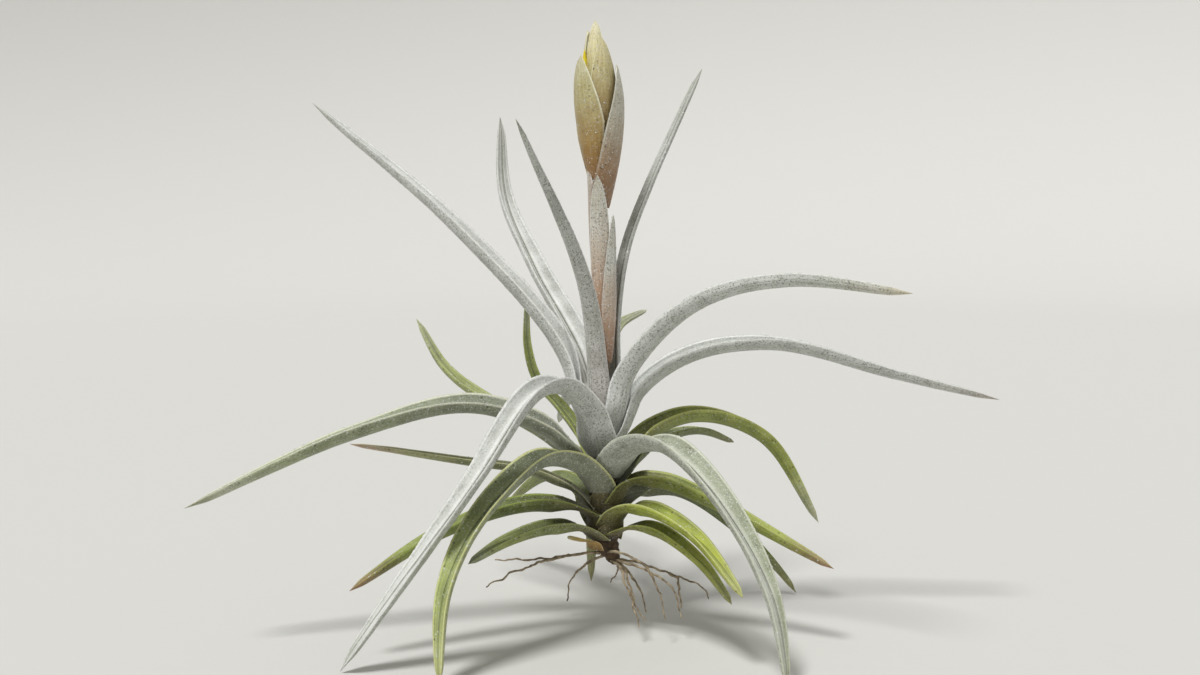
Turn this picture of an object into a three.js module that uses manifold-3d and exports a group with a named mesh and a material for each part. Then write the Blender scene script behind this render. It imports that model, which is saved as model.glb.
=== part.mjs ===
// An air plant in flower: a short woody stem with wiry roots, a rosette of channelled
// leaves that arch outwards, and a bracted stalk with one spike of overlapping bracts.
// Millimetres, +Z up. The plant stands on the tips of its lowest leaves, on the plane z = 0,
// and the origin is the middle of its bounding box, on that plane.

import * as THREE from "three";
import { mergeVertices } from "three/addons/utils/BufferGeometryUtils.js";
import Module from "manifold-3d";

const wasm = await Module();
wasm.setup();

const { degToRad, lerp, radToDeg, smoothstep } = THREE.MathUtils;

// Driving dimensions

// The gap that every piece keeps to the piece that carries it.
const SEAT = 0.3;

// The woody stem: its radius at heights over the floor, from the worn old end, which bends to the
// right, over the shoulder where the lowest leaf grows, to the head.
const STEM = {
  radii: [[0.9, 20.3], [1.9, 21.3], [2.6, 23], [4, 25.5], [2.6, 64.5]],
  bend: 2.6,
  straightFrom: 27,
  sides: 20,
};
const [STEM_FOOT, , , STEM_SHOULDER, STEM_HEAD] = STEM.radii;

// The stalk and the spike's axis: one slender shoot, which leans a little to the left.
const STALK = {
  foot: 64.8,
  neck: 128,
  head: 160,
  radius: 1.6,
  headRadius: 0.8,
  lean: 1.15,
  leanStart: 50,
  sides: 12,
};

// What all leaves share. The channel is the half angle of the arc that a section follows. It
// passes from the one at the base to the fold, and further out to the open blade's own.
const LEAF = {
  firstNode: 25.5,
  nodeSpacing: 1.42,
  sheathWidth: 15,
  widestClasp: 95,
  sheathThickness: 0.8,
  claspLength: 13,
  keelThickness: 1.35,
  marginThickness: 0.65,
  channelAtBase: 46,
  fold: 95,
  channel: 95,
  tipWidth: 2.4,
  taper: 0.5,
  stations: 15,
  columns: 7,
};

// The leaves from the lowest and oldest to the highest and youngest, each with the width of its
// blade, measured round the channel, and the way that it takes from the stem, as points of
// azimuth in degrees (0 is +X, 90 is +Y), reach from the axis and height. A front leaf that
// arches down is more open than the rest, and two leaves twist a little at their crest.
const LEAVES = [
  { name: "leaf_01_dead", width: 5.5, way: [[236, 7, 28], [222, 9.5, 28.8], [208, 12, 29.6]] },
  { name: "leaf_02", width: 11, way: [[85, 9, 31], [85, 18, 35], [85, 40, 34], [84, 68, 22]] },
  { name: "leaf_03", width: 13, way: [[215, 8, 31], [215, 18, 33.5], [215, 31, 32], [215, 44, 27.5]] },
  { name: "leaf_04", width: 11, way: [[325, 8, 31.5], [325, 17, 32.5], [325, 30, 26.5], [325, 41, 16]] },
  { name: "leaf_05", width: 12, way: [[115, 9, 35], [115, 20, 39], [115, 42, 38], [116, 72, 24]] },
  { name: "leaf_06", width: 13, way: [[312, 8, 36.5], [313, 17, 39], [315, 33, 34.5], [316, 49, 21]] },
  { name: "leaf_07", width: 14, way: [[200, 8, 36.5], [200, 22, 39.5], [200, 47, 33.5], [200, 72, 20]] },
  {
    name: "leaf_08",
    width: 12,
    way: [[37, 9, 38.5], [36, 26, 38.5], [34, 50, 23], [32, 66, 7], [31, 71, -1]],
  },
  { name: "leaf_09", width: 8, way: [[185, 8, 41], [185, 19, 47], [185, 41, 51], [185, 71, 56]] },
  { name: "leaf_10", width: 14, way: [[347, 8, 44], [347, 16, 45], [347, 27, 41.5], [347, 64, 23]] },
  {
    name: "leaf_11",
    width: 12,
    way: [[95, 8, 44], [95, 19, 50], [95, 36, 41], [95, 47, 12], [95, 49, -1]],
  },
  {
    name: "leaf_12",
    width: 16,
    channel: 72,
    fold: 88,
    way: [[231, 8, 46.5], [231, 14, 52], [228, 26, 54], [224, 45, 41], [223, 55, 24], [225, 59, -1]],
  },
  { name: "leaf_13", width: 10, way: [[33, 8, 46.5], [34, 16, 53], [36, 34, 55.5], [37, 50, 50]] },
  {
    name: "leaf_14",
    width: 12,
    way: [[150, 8, 48], [150, 18, 55], [150, 42, 65], [150, 57, 74], [150, 67, 88]],
  },
  {
    name: "leaf_15",
    width: 17,
    channel: 72,
    fold: 80,
    way: [[300, 8, 50], [302, 14, 56.2], [306, 28, 58.4], [311, 45, 46], [315, 58, 24], [316, 63, -1]],
  },
  {
    name: "leaf_16",
    width: 16,
    twist: -12,
    way: [[190, 8, 51], [190, 17, 60], [190, 38, 67], [190, 70, 60], [190, 114, 41]],
  },
  {
    name: "leaf_17",
    width: 15,
    way: [[19, 8, 52], [19, 14, 58], [18, 28, 62], [18, 49, 54.5], [18, 68, 27]],
  },
  {
    name: "leaf_18",
    width: 8,
    way: [[125, 8, 53], [125, 22, 62], [125, 37, 70], [125, 42, 80], [125, 42, 94]],
  },
  {
    name: "leaf_19",
    width: 14.8,
    channel: 70,
    fold: 104,
    taper: 0.4,
    twist: -15,
    way: [
      [246, 7.5, 56],
      [243, 10.5, 65.2],
      [236.7, 20.3, 73.6],
      [234.3, 32, 72.8],
      [224, 46, 51.5],
      [204, 75.5, -1],
    ],
  },
  {
    name: "leaf_20",
    width: 13,
    way: [[100, 8, 56], [100, 15, 62], [100, 34, 67], [100, 62, 62], [100, 94, 46]],
  },
  {
    name: "leaf_21",
    width: 14,
    way: [[5, 6.5, 59], [5, 9, 69], [5, 23, 79.5], [5, 48, 83], [5, 85, 73.5], [5, 115, 66]],
  },
  { name: "leaf_22", width: 16, way: [[162, 6.6, 60], [162, 11.5, 80], [162, 45, 116], [162, 92, 153]] },
  {
    name: "leaf_23",
    width: 12.5,
    way: [[318, 6, 63], [320, 7, 73], [326, 16, 85.5], [328, 32, 97], [330, 54, 102], [330, 86, 99.5]],
  },
  { name: "leaf_24", width: 9, way: [[84, 6.2, 64], [84, 10, 73], [82, 24, 85], [73, 46, 90]] },
  {
    name: "leaf_25",
    width: 11.5,
    taper: 0.8,
    way: [[240, 4.6, 66], [240, 5.6, 79], [240, 12, 101], [240, 44, 142]],
  },
  {
    name: "leaf_26",
    width: 15,
    way: [[130, 4.8, 67], [130, 10, 80], [130, 31, 103], [130, 48, 126], [130, 50, 150]],
  },
  {
    name: "leaf_27",
    width: 7,
    taper: 0.35,
    way: [[40, 4.2, 70], [40, 4.3, 90], [38, 8.2, 111], [35.5, 24.4, 143.5], [34, 34.2, 161.8]],
  },
];

// The bracts wrap round the stalk. Each has its azimuth, the heights of its foot and its tip, its
// widest arc, the swell (the furthest that it stands from the stalk's middle), how far up it
// swells most, and how far from the middle its tip is. A wide one narrows from further down.
const BRACT = { thickness: 0.7, tipWidth: 1.5, widestSpan: 70, narrowsAt: 0.4, stations: 9, columns: 7 };
const BRACTS = [
  {
    name: "scape_bract_1", azimuth: 130, foot: 66, tip: 97,
    width: 5, swell: 2.9, swellAt: 0.5, tipReach: 2.8,
  },
  {
    name: "scape_bract_2",
    azimuth: 325,
    foot: 78,
    tip: 119.3,
    width: 9,
    swell: 4.2,
    swellAt: 0.5,
    tipReach: 4.5,
    narrowsAt: 0.1,
  },
  {
    name: "scape_bract_3", azimuth: 265, foot: 87, tip: 130,
    width: 6, swell: 3.5, swellAt: 0.6, tipReach: 3.6, narrowsAt: 0.55,
  },
  {
    name: "scape_bract_4", azimuth: 160, foot: 104, tip: 134,
    width: 4.8, swell: 2.8, swellAt: 0.6, tipReach: 2.9,
  },
  {
    name: "floral_bract_1", azimuth: 345, foot: 121, tip: 160,
    width: 15, swell: 7.3, swellAt: 0.72, tipReach: 5.6,
  },
  {
    name: "floral_bract_2", azimuth: 105, foot: 127, tip: 161,
    width: 13, swell: 6.8, swellAt: 0.7, tipReach: 4.8,
  },
  {
    name: "floral_bract_3", azimuth: 217, foot: 131, tip: 162.3,
    width: 15, swell: 6.6, swellAt: 0.68, tipReach: 5.5,
  },
  {
    name: "floral_bract_4", azimuth: 300, foot: 135, tip: 167,
    width: 11, swell: 5.4, swellAt: 0.5, tipReach: 3,
  },
  {
    name: "floral_bract_5", azimuth: 50, foot: 138, tip: 165,
    width: 10, swell: 5.2, swellAt: 0.5, tipReach: 3.2,
  },
  {
    name: "floral_bract_6", azimuth: 165, foot: 140, tip: 169.5,
    width: 9, swell: 4.4, swellAt: 0.5, tipReach: 2.4,
  },
  {
    name: "floral_bract_7", azimuth: 260, foot: 143, tip: 172,
    width: 8, swell: 3.6, swellAt: 0.45, tipReach: 1.2,
  },
];

// The flower that is about to open: a rolled bud of petals just inside one bract's edge.
const PETALS = { azimuth: 210, foot: 142, tip: 164, reach: 3.9, radius: 0.95, sides: 8 };

// Wiry roots from the stem's foot, as points of x, y and z. Two of them fork.
const ROOT = { radius: 0.42, sides: 5, stepsPerPoint: 3 };
const ROOTS = [
  [[0, -2, 24.5], [3.5, -6, 25.4], [6.6, -7.5, 24.6], [12, -9, 21], [14.8, -10, 15.5], [16.6, -11, 8]],
  [[1, -1, 22], [7, -4, 21.5], [12, -6, 20.3], [17.2, -7.5, 17.3], [19.6, -8, 13.5], [21.4, -8, 7]],
  [[1, 0, 22], [7, -2, 21.8], [15.5, -3.5, 19.8], [22.8, -5, 17.2], [27.6, -6, 14.9], [29.2, -6, 12]],
  [[18, -4, 18.9], [20.6, -4.5, 17.4], [20.9, -4.5, 13], [21.6, -4.5, 8.8]],
  [[1, -1, 22], [3.9, -3.4, 21], [5.7, -7, 16.5], [8.5, -9, 9.3], [9.6, -9.6, 5]],
  [[1.5, -1, 21.7], [4.8, -3, 20.3], [6.9, -6.4, 16], [9.3, -8.2, 9.5], [10.8, -9, 6.5]],
  [[-1, -1, 23.8], [-4.5, -3.6, 24.6], [-16.7, -8, 24.1], [-30.2, -12, 24.8]],
  [[-10, -5.6, 24.5], [-18, -10, 23.6], [-24.6, -14, 22.1], [-32.3, -19, 19.3]],
  [[1, 1, 22], [6, 3.5, 18], [10, 5, 11], [12, 7, 4]],
  [[0, 2, 22.5], [-6, 7, 18], [-10, 12, 12], [-11, 14, 5]],
  [[0, 2, 22.5], [3, 9, 19.5], [4, 17, 14], [2, 22, 8]],
];

// Materials: the young leaves are silver with scales, the old ones are green to yellow-green.
const paint = (color, roughness) => new THREE.MeshStandardMaterial({ color, roughness, metalness: 0 });
const MATERIALS = {
  silverLeaf: paint(0xb9c0ba, 0.85),
  greyLeaf: paint(0x9aa88c, 0.8),
  greenLeaf: paint(0x8d9c4a, 0.7),
  deadLeaf: paint(0xb79a4c, 0.85),
  stem: paint(0x6b4a3a, 0.9),
  stalk: paint(0xb08a5c, 0.7),
  scapeBract: paint(0xc2b49c, 0.8),
  floralBract: paint(0xcdc48a, 0.6),
  petals: paint(0xf0e23a, 0.5),
};
const FIRST_SILVER = 18;
const FIRST_GREY = 11;

// A closed strip between two faces. Each face is a list of rows of points, from the foot to the
// tip. Both faces are split along the same diagonal, so that a thin blade never crosses itself.
function stripSolid(outerRows, innerRows) {
  const rows = outerRows.length;
  const columns = outerRows[0].length;
  const points = [...outerRows.flat(), ...innerRows.flat()];
  const outer = (row, column) => row * columns + column;
  const inner = (row, column) => rows * columns + row * columns + column;
  const triangles = [];
  const quad = (a, b, c, d) => triangles.push(a, b, c, a, c, d);
  for (let row = 0; row < rows - 1; row += 1) {
    for (let column = 0; column < columns - 1; column += 1) {
      quad(outer(row, column), outer(row, column + 1), outer(row + 1, column + 1), outer(row + 1, column));
      triangles.push(inner(row, column), inner(row + 1, column + 1), inner(row, column + 1));
      triangles.push(inner(row, column), inner(row + 1, column), inner(row + 1, column + 1));
    }
    const last = columns - 1;
    quad(outer(row, last), inner(row, last), inner(row + 1, last), outer(row + 1, last));
    quad(inner(row, 0), outer(row, 0), outer(row + 1, 0), inner(row + 1, 0));
  }
  for (let column = 0; column < columns - 1; column += 1) {
    const top = rows - 1;
    quad(outer(0, column + 1), outer(0, column), inner(0, column), inner(0, column + 1));
    quad(outer(top, column), outer(top, column + 1), inner(top, column + 1), inner(top, column));
  }
  return facingOut(points, triangles);
}

// A solid from points and triangles, turned so that its faces point outwards.
function facingOut(points, triangles) {
  let volume = 0;
  for (let i = 0; i < triangles.length; i += 3) {
    const [a, b, c] = [0, 1, 2].map((corner) => points[triangles[i + corner]]);
    volume += a.dot(new THREE.Vector3().crossVectors(b, c));
  }
  const triVerts = new Uint32Array(triangles);
  if (volume < 0) triVerts.reverse();
  const vertProperties = new Float32Array(points.flatMap((point) => point.toArray()));
  return new wasm.Manifold(new wasm.Mesh({ numProp: 3, vertProperties, triVerts }));
}

// A solid from one of three.js's own closed geometries.
function solidOf(geometry) {
  geometry.deleteAttribute("normal");
  geometry.deleteAttribute("uv");
  const merged = mergeVertices(geometry, 1e-4);
  const vertProperties = merged.attributes.position.array;
  const triVerts = new Uint32Array(merged.index.array);
  return new wasm.Manifold(new wasm.Mesh({ numProp: 3, vertProperties, triVerts }));
}

function meshOf(name, solid, material) {
  const { vertProperties, triVerts } = solid.getMesh();
  const geometry = new THREE.BufferGeometry();
  geometry.setAttribute("position", new THREE.BufferAttribute(vertProperties, 3));
  geometry.setIndex(new THREE.BufferAttribute(triVerts, 1));
  geometry.computeVertexNormals();
  const mesh = new THREE.Mesh(geometry, material);
  mesh.name = name;
  return mesh;
}

// The largest of the bodies that a cut leaves, so that no loose scrap stays.
const largestBody = (solid) => solid.decompose().sort((a, b) => b.volume() - a.volume())[0];

// The stem's radius where leaves grow.
const stemRadius = (height) =>
  lerp(STEM_SHOULDER[0], STEM_HEAD[0], (height - STEM_SHOULDER[1]) / (STEM_HEAD[1] - STEM_SHOULDER[1]));

// How far the stem's old end has bent to the right at a height.
const stemShift = (height) => STEM.bend * (1 - smoothstep(height, STEM_FOOT[1], STEM.straightFrom));

// How far the stalk has leaned to the left at a height.
const stalkShift = (height) =>
  new THREE.Vector3(-Math.max(0, height - STALK.leanStart) * Math.tan(degToRad(STALK.lean)), 0, 0);

function polar(azimuth, reach, height) {
  const angle = degToRad(azimuth);
  return new THREE.Vector3(reach * Math.cos(angle), reach * Math.sin(angle), height);
}

// The line that a leaf follows, from the stem through its way.
function leafSpine(leaf, node) {
  const footReach = stemRadius(node) + SEAT + LEAF.sheathThickness;
  const points = [polar(leaf.way[0][0], footReach, node), ...leaf.way.map((stop) => polar(...stop))];
  return new THREE.CatmullRomCurve3(points, false, "centripetal");
}

// A leaf: a sheath that clasps the stem and opens into a channelled blade, which narrows and
// fills up towards a blunt tip. With grow, the same leaf is thicker by that much on every side.
function leafSolid(leaf, node, grow = 0) {
  const spine = leafSpine(leaf, node);
  const length = spine.getLength();
  const azimuth = leaf.way[0][0];
  const side = new THREE.Vector3(-Math.sin(degToRad(azimuth)), Math.cos(degToRad(azimuth)), 0);
  const outerRows = [];
  const innerRows = [];
  for (let row = 0; row < LEAF.stations; row += 1) {
    const along = (row / (LEAF.stations - 1)) ** 1.25;
    const tangent = spine.getTangentAt(along);
    const keel = spine.getPointAt(along);
    if (row === 0) keel.addScaledVector(tangent, -grow);
    if (row === LEAF.stations - 1) keel.addScaledVector(tangent, grow);
    side.addScaledVector(tangent, -side.dot(tangent)).normalize();
    const twist = (leaf.twist ?? 0) * smoothstep(along, 0.05, 0.2) * (1 - smoothstep(along, 0.3, 0.6));
    const across = side.clone().applyAxisAngle(tangent, degToRad(twist));
    const up = new THREE.Vector3().crossVectors(tangent, across);

    const open = smoothstep(along * length, 0, LEAF.claspLength);
    const blade = lerp(LEAF.tipWidth, leaf.width, (1 - along) ** (leaf.taper ?? LEAF.taper));
    const width = lerp(Math.min(LEAF.sheathWidth, leaf.width), blade, open);
    const folded = lerp(LEAF.channelAtBase, leaf.fold ?? LEAF.fold, smoothstep(along, 0, 0.2));
    const channel = degToRad(lerp(folded, leaf.channel ?? LEAF.channel, smoothstep(along, 0.3, 0.5)));
    const radius = width / (2 * channel);
    const keelThickness = lerp(LEAF.sheathThickness, LEAF.keelThickness, open);
    const fill = 0.8 * smoothstep(along, 0.5, 0.95);
    const reach = Math.hypot(keel.x, keel.y);
    const clasp = Math.min(width / (2 * reach), degToRad(LEAF.widestClasp));
    const middle = keel.clone().addScaledVector(up, radius * (1 - 0.5 * open * (1 - Math.cos(channel))));

    const outerRow = [];
    const innerRow = [];
    for (let column = 0; column < LEAF.columns; column += 1) {
      const share = (2 * column) / (LEAF.columns - 1) - 1;
      const turn = share * (channel + grow / radius);
      const inwards = up.clone().multiplyScalar(Math.cos(turn)).addScaledVector(across, -Math.sin(turn));
      const thickness = Math.min(lerp(keelThickness, LEAF.marginThickness, share ** 2), 0.65 * radius);
      const outer = middle.clone().addScaledVector(inwards, -radius - grow);
      const inner = middle.clone().addScaledVector(inwards, thickness - radius + grow);
      const lid = middle
        .clone()
        .addScaledVector(up, -radius * Math.cos(channel))
        .addScaledVector(across, share * radius * Math.sin(channel));
      inner.lerp(lid, fill * (1 - share ** 4));

      const around = azimuth + radToDeg(share * (clasp + grow / reach));
      outer.lerpVectors(polar(around, reach + grow, keel.z), outer, open);
      inner.lerpVectors(polar(around, reach - LEAF.sheathThickness - grow, keel.z), inner, open);
      outerRow.push(outer);
      innerRow.push(inner);
    }
    outerRows.push(outerRow);
    innerRows.push(innerRow);
  }
  return stripSolid(outerRows, innerRows);
}

// How far a bract stands from the stalk's middle: it leaves the stalk, swells and closes in.
function bractReach(bract, along) {
  const close = stalkRadius(bract.foot) + SEAT + BRACT.thickness;
  if (along < bract.swellAt) {
    return lerp(close, bract.swell, Math.sin(((Math.PI / 2) * along) / bract.swellAt));
  }
  const past = (along - bract.swellAt) / (1 - bract.swellAt);
  return lerp(bract.swell, bract.tipReach, past ** 1.8);
}

// A bract: part of a thin cup round the stalk, which narrows past its middle to a pointed tip.
function bractSolid(bract, grow = 0) {
  const shares = Array.from({ length: BRACT.columns }, (_, column) => (2 * column) / (BRACT.columns - 1) - 1);
  const outerRows = [];
  const innerRows = [];
  for (let row = 0; row < BRACT.stations; row += 1) {
    const along = row / (BRACT.stations - 1);
    const height = lerp(bract.foot - grow, bract.tip + grow, along);
    const reach = bractReach(bract, along);
    const narrowsAt = bract.narrowsAt ?? BRACT.narrowsAt;
    const past = Math.max(0, along - narrowsAt) / (1 - narrowsAt);
    const width = lerp(BRACT.tipWidth, bract.width, Math.min(1, 0.4 + 1.5 * along) * (1 - past ** 2));
    const half = Math.min(radToDeg((width / 2 + grow) / reach), BRACT.widestSpan);
    const onRing = (distance) => (share) =>
      polar(bract.azimuth + share * half, distance, height).add(stalkShift(height));
    outerRows.push(shares.map(onRing(reach + grow)));
    innerRows.push(shares.map(onRing(reach - BRACT.thickness - grow)));
  }
  return stripSolid(outerRows, innerRows);
}

const stalkRadius = (height) =>
  lerp(STALK.radius, STALK.headRadius, smoothstep(height, STALK.neck, STALK.head));

// The stalk: a slim shaft along a leaning line, made thinner inside the spike.
function stalkSolid() {
  const heights = [STALK.foot, 70, 90, 110, STALK.neck, 136, 144, 152, STALK.head];
  const profile = heights.map((height) => new THREE.Vector2(stalkRadius(height), height));
  const ends = [new THREE.Vector2(0, STALK.foot), ...profile, new THREE.Vector2(0, STALK.head)];
  const geometry = new THREE.LatheGeometry(ends, STALK.sides).rotateX(Math.PI / 2);
  const position = geometry.attributes.position;
  for (let i = 0; i < position.count; i += 1) {
    position.setX(i, position.getX(i) + stalkShift(position.getZ(i)).x);
  }
  return solidOf(geometry);
}

// The stem with its roots, which start well inside it or inside one another.
function stemSolid() {
  const straight = [stemRadius(STEM.straightFrom), STEM.straightFrom];
  const outline = [[0, STEM_FOOT[1]], ...STEM.radii.slice(0, -1), straight, STEM_HEAD, [0, STEM_HEAD[1]]];
  const profile = outline.map(([radius, height]) => new THREE.Vector2(radius, height));
  const geometry = new THREE.LatheGeometry(profile, STEM.sides).rotateX(Math.PI / 2);
  const position = geometry.attributes.position;
  for (let i = 0; i < position.count; i += 1) {
    position.setX(i, position.getX(i) + stemShift(position.getZ(i)));
  }
  let stem = solidOf(geometry);
  for (const route of ROOTS) {
    const path = new THREE.CatmullRomCurve3(route.map((point) => new THREE.Vector3(...point)));
    const section = new THREE.Shape();
    for (let side = 0; side < ROOT.sides; side += 1) {
      const angle = (2 * Math.PI * side) / ROOT.sides;
      const [x, y] = [ROOT.radius * Math.cos(angle), ROOT.radius * Math.sin(angle)];
      if (side === 0) section.moveTo(x, y);
      else section.lineTo(x, y);
    }
    const steps = ROOT.stepsPerPoint * (route.length - 1);
    stem = stem.add(solidOf(new THREE.ExtrudeGeometry(section, { steps, extrudePath: path })));
  }
  return stem;
}

// The flower bud: a slim spindle beside the stalk. With grow, it is thicker all round.
function petalsSolid(grow = 0) {
  const length = PETALS.tip - PETALS.foot + 2 * grow;
  const outline = [
    [0, 0],
    [0.5 * PETALS.radius + grow, 0],
    [PETALS.radius + grow, 0.4 * length],
    [0.9 * PETALS.radius + grow, 0.8 * length],
    [0.4 * PETALS.radius + grow, length],
    [0, length],
  ];
  const profile = outline.map(([radius, height]) => new THREE.Vector2(radius, height));
  const place = polar(PETALS.azimuth, PETALS.reach, PETALS.foot - grow).add(stalkShift(PETALS.tip));
  const geometry = new THREE.LatheGeometry(profile, PETALS.sides).rotateX(Math.PI / 2);
  return solidOf(geometry.translate(place.x, place.y, place.z));
}

// Everything below the floor is cut away, which leaves a small flat facet on each low tip.
const belowFloor = solidOf(new THREE.BoxGeometry(400, 400, 20).translate(0, 0, -10));

// Pieces are made from the oldest to the youngest. Where one would press into an older one
// round it, the younger gives way and keeps its seat.
const giveWay = (solid, olderOnes) =>
  largestBody(olderOnes.reduce((rest, older) => rest.subtract(older), solid));

const olderLeaves = [];
const leafMeshes = LEAVES.map((leaf, index) => {
  const node = LEAF.firstNode + LEAF.nodeSpacing * index;
  const solid = giveWay(leafSolid(leaf, node).subtract(belowFloor), olderLeaves);
  olderLeaves.push(leafSolid(leaf, node, SEAT));
  let material = MATERIALS.greenLeaf;
  if (index === 0) material = MATERIALS.deadLeaf;
  else if (index >= FIRST_SILVER) material = MATERIALS.silverLeaf;
  else if (index >= FIRST_GREY) material = MATERIALS.greyLeaf;
  return meshOf(leaf.name, solid, material);
});

const olderBracts = [petalsSolid(SEAT)];
const bractMeshes = BRACTS.map((bract) => {
  const solid = giveWay(bractSolid(bract), olderBracts);
  olderBracts.push(bractSolid(bract, SEAT));
  const material = bract.name.startsWith("scape") ? MATERIALS.scapeBract : MATERIALS.floralBract;
  return meshOf(bract.name, solid, material);
});

const rosette = new THREE.Group();
rosette.add(meshOf("stem", stemSolid(), MATERIALS.stem), ...leafMeshes);

const flowerStalk = new THREE.Group();
flowerStalk.add(
  meshOf("stalk", stalkSolid(), MATERIALS.stalk),
  ...bractMeshes,
  meshOf("petals", petalsSolid(), MATERIALS.petals),
);

const plant = new THREE.Group();
plant.add(rosette, flowerStalk);
plant.updateMatrixWorld(true);
const box = new THREE.Box3().setFromObject(plant);
const middle = box.getCenter(new THREE.Vector3());
plant.position.set(-middle.x, -middle.y, -box.min.z);

export default plant;
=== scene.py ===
"""The looks of an air plant in bud, grown over its solids.

Every leaf and bract is one blade that a node tree sweeps along a rail. The rails follow the same
rules as the solids, so each blade lies where its solid is. Lengths are in metres, and the tables
below are in millimetres and degrees.
"""

import math
from typing import NamedTuple

import bpy
import numpy as np
from mathutils import Matrix, Vector, noise


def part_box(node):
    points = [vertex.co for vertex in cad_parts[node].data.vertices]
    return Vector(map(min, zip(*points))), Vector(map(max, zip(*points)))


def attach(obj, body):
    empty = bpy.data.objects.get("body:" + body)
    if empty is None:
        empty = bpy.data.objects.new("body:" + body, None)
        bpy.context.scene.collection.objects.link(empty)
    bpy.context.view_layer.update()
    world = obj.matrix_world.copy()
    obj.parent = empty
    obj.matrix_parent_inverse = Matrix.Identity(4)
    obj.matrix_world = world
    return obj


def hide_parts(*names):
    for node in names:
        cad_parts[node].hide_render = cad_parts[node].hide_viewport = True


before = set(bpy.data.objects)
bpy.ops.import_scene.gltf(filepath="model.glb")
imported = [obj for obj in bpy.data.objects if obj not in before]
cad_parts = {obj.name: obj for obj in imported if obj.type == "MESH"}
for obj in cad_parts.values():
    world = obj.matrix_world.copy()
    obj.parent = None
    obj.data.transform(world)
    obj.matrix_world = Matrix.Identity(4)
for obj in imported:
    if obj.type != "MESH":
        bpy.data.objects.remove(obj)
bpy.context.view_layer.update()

bl_info = {
    "name": "Air plant in bud",
    "version": (1, 0, 0),
    "blender": (4, 5, 0),
    "location": "3D View > Sidebar > Air plant",
    "description": "Grows scaly leaves, a bracted spike, a stem and wiry roots over their solids",
    "category": "Object",
}

MM = 0.001
ROOT_BODY = "root"

# The photograph's width and focal length in pixels, and where its camera is from the plant's foot.
IMAGE_WIDTH, FOCAL_LENGTH = 1200, 1179
CAMERA_STAND = (-0.0014, -0.3287, 0.1138)
CAMERA_TILT = math.radians(85)
SENSOR_WIDTH = 36
PLANT_IOR = 1.45
FLOOR_RADIUS, COVE_RADIUS = 1.5, 1

# Kinds of node that come again and again, and settings of theirs.
MATH, VECTOR_MATH = "ShaderNodeMath", "ShaderNodeVectorMath"
RANGE, MIX, NOISE = "ShaderNodeMapRange", "ShaderNodeMix", "ShaderNodeTexNoise"
PLUS, MINUS, TIMES = {"operation": "ADD"}, {"operation": "SUBTRACT"}, {"operation": "MULTIPLY"}
SCALED = {"operation": "SCALE"}
SHARE_OF = {"operation": "MULTIPLY", "use_clamp": True}
COLOURS = {"data_type": "RGBA"}
DARKENED = {"data_type": "RGBA", "blend_type": "MULTIPLY"}


class Leaf(NamedTuple):
    """A leaf: the width of its blade, its way from the stem and its colours.

    The way holds azimuth in degrees, reach from the plant's axis and height. The skin's colours
    run from the foot to the tip. The scaly shares say how much silver covers the outer and the
    inner face, and fair_half is -1 or 1 where one half of the blade is the more silver.
    """

    name: str
    width: float
    way: tuple
    skin: tuple
    # The edge colour paints the margins, and also the painted highlight bands on the inner face.
    edge: str
    scaly: tuple
    channel: float = 95
    fold: float = 95
    taper: float = 0.5
    twist: float = 0
    fair_half: float = 0


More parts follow.
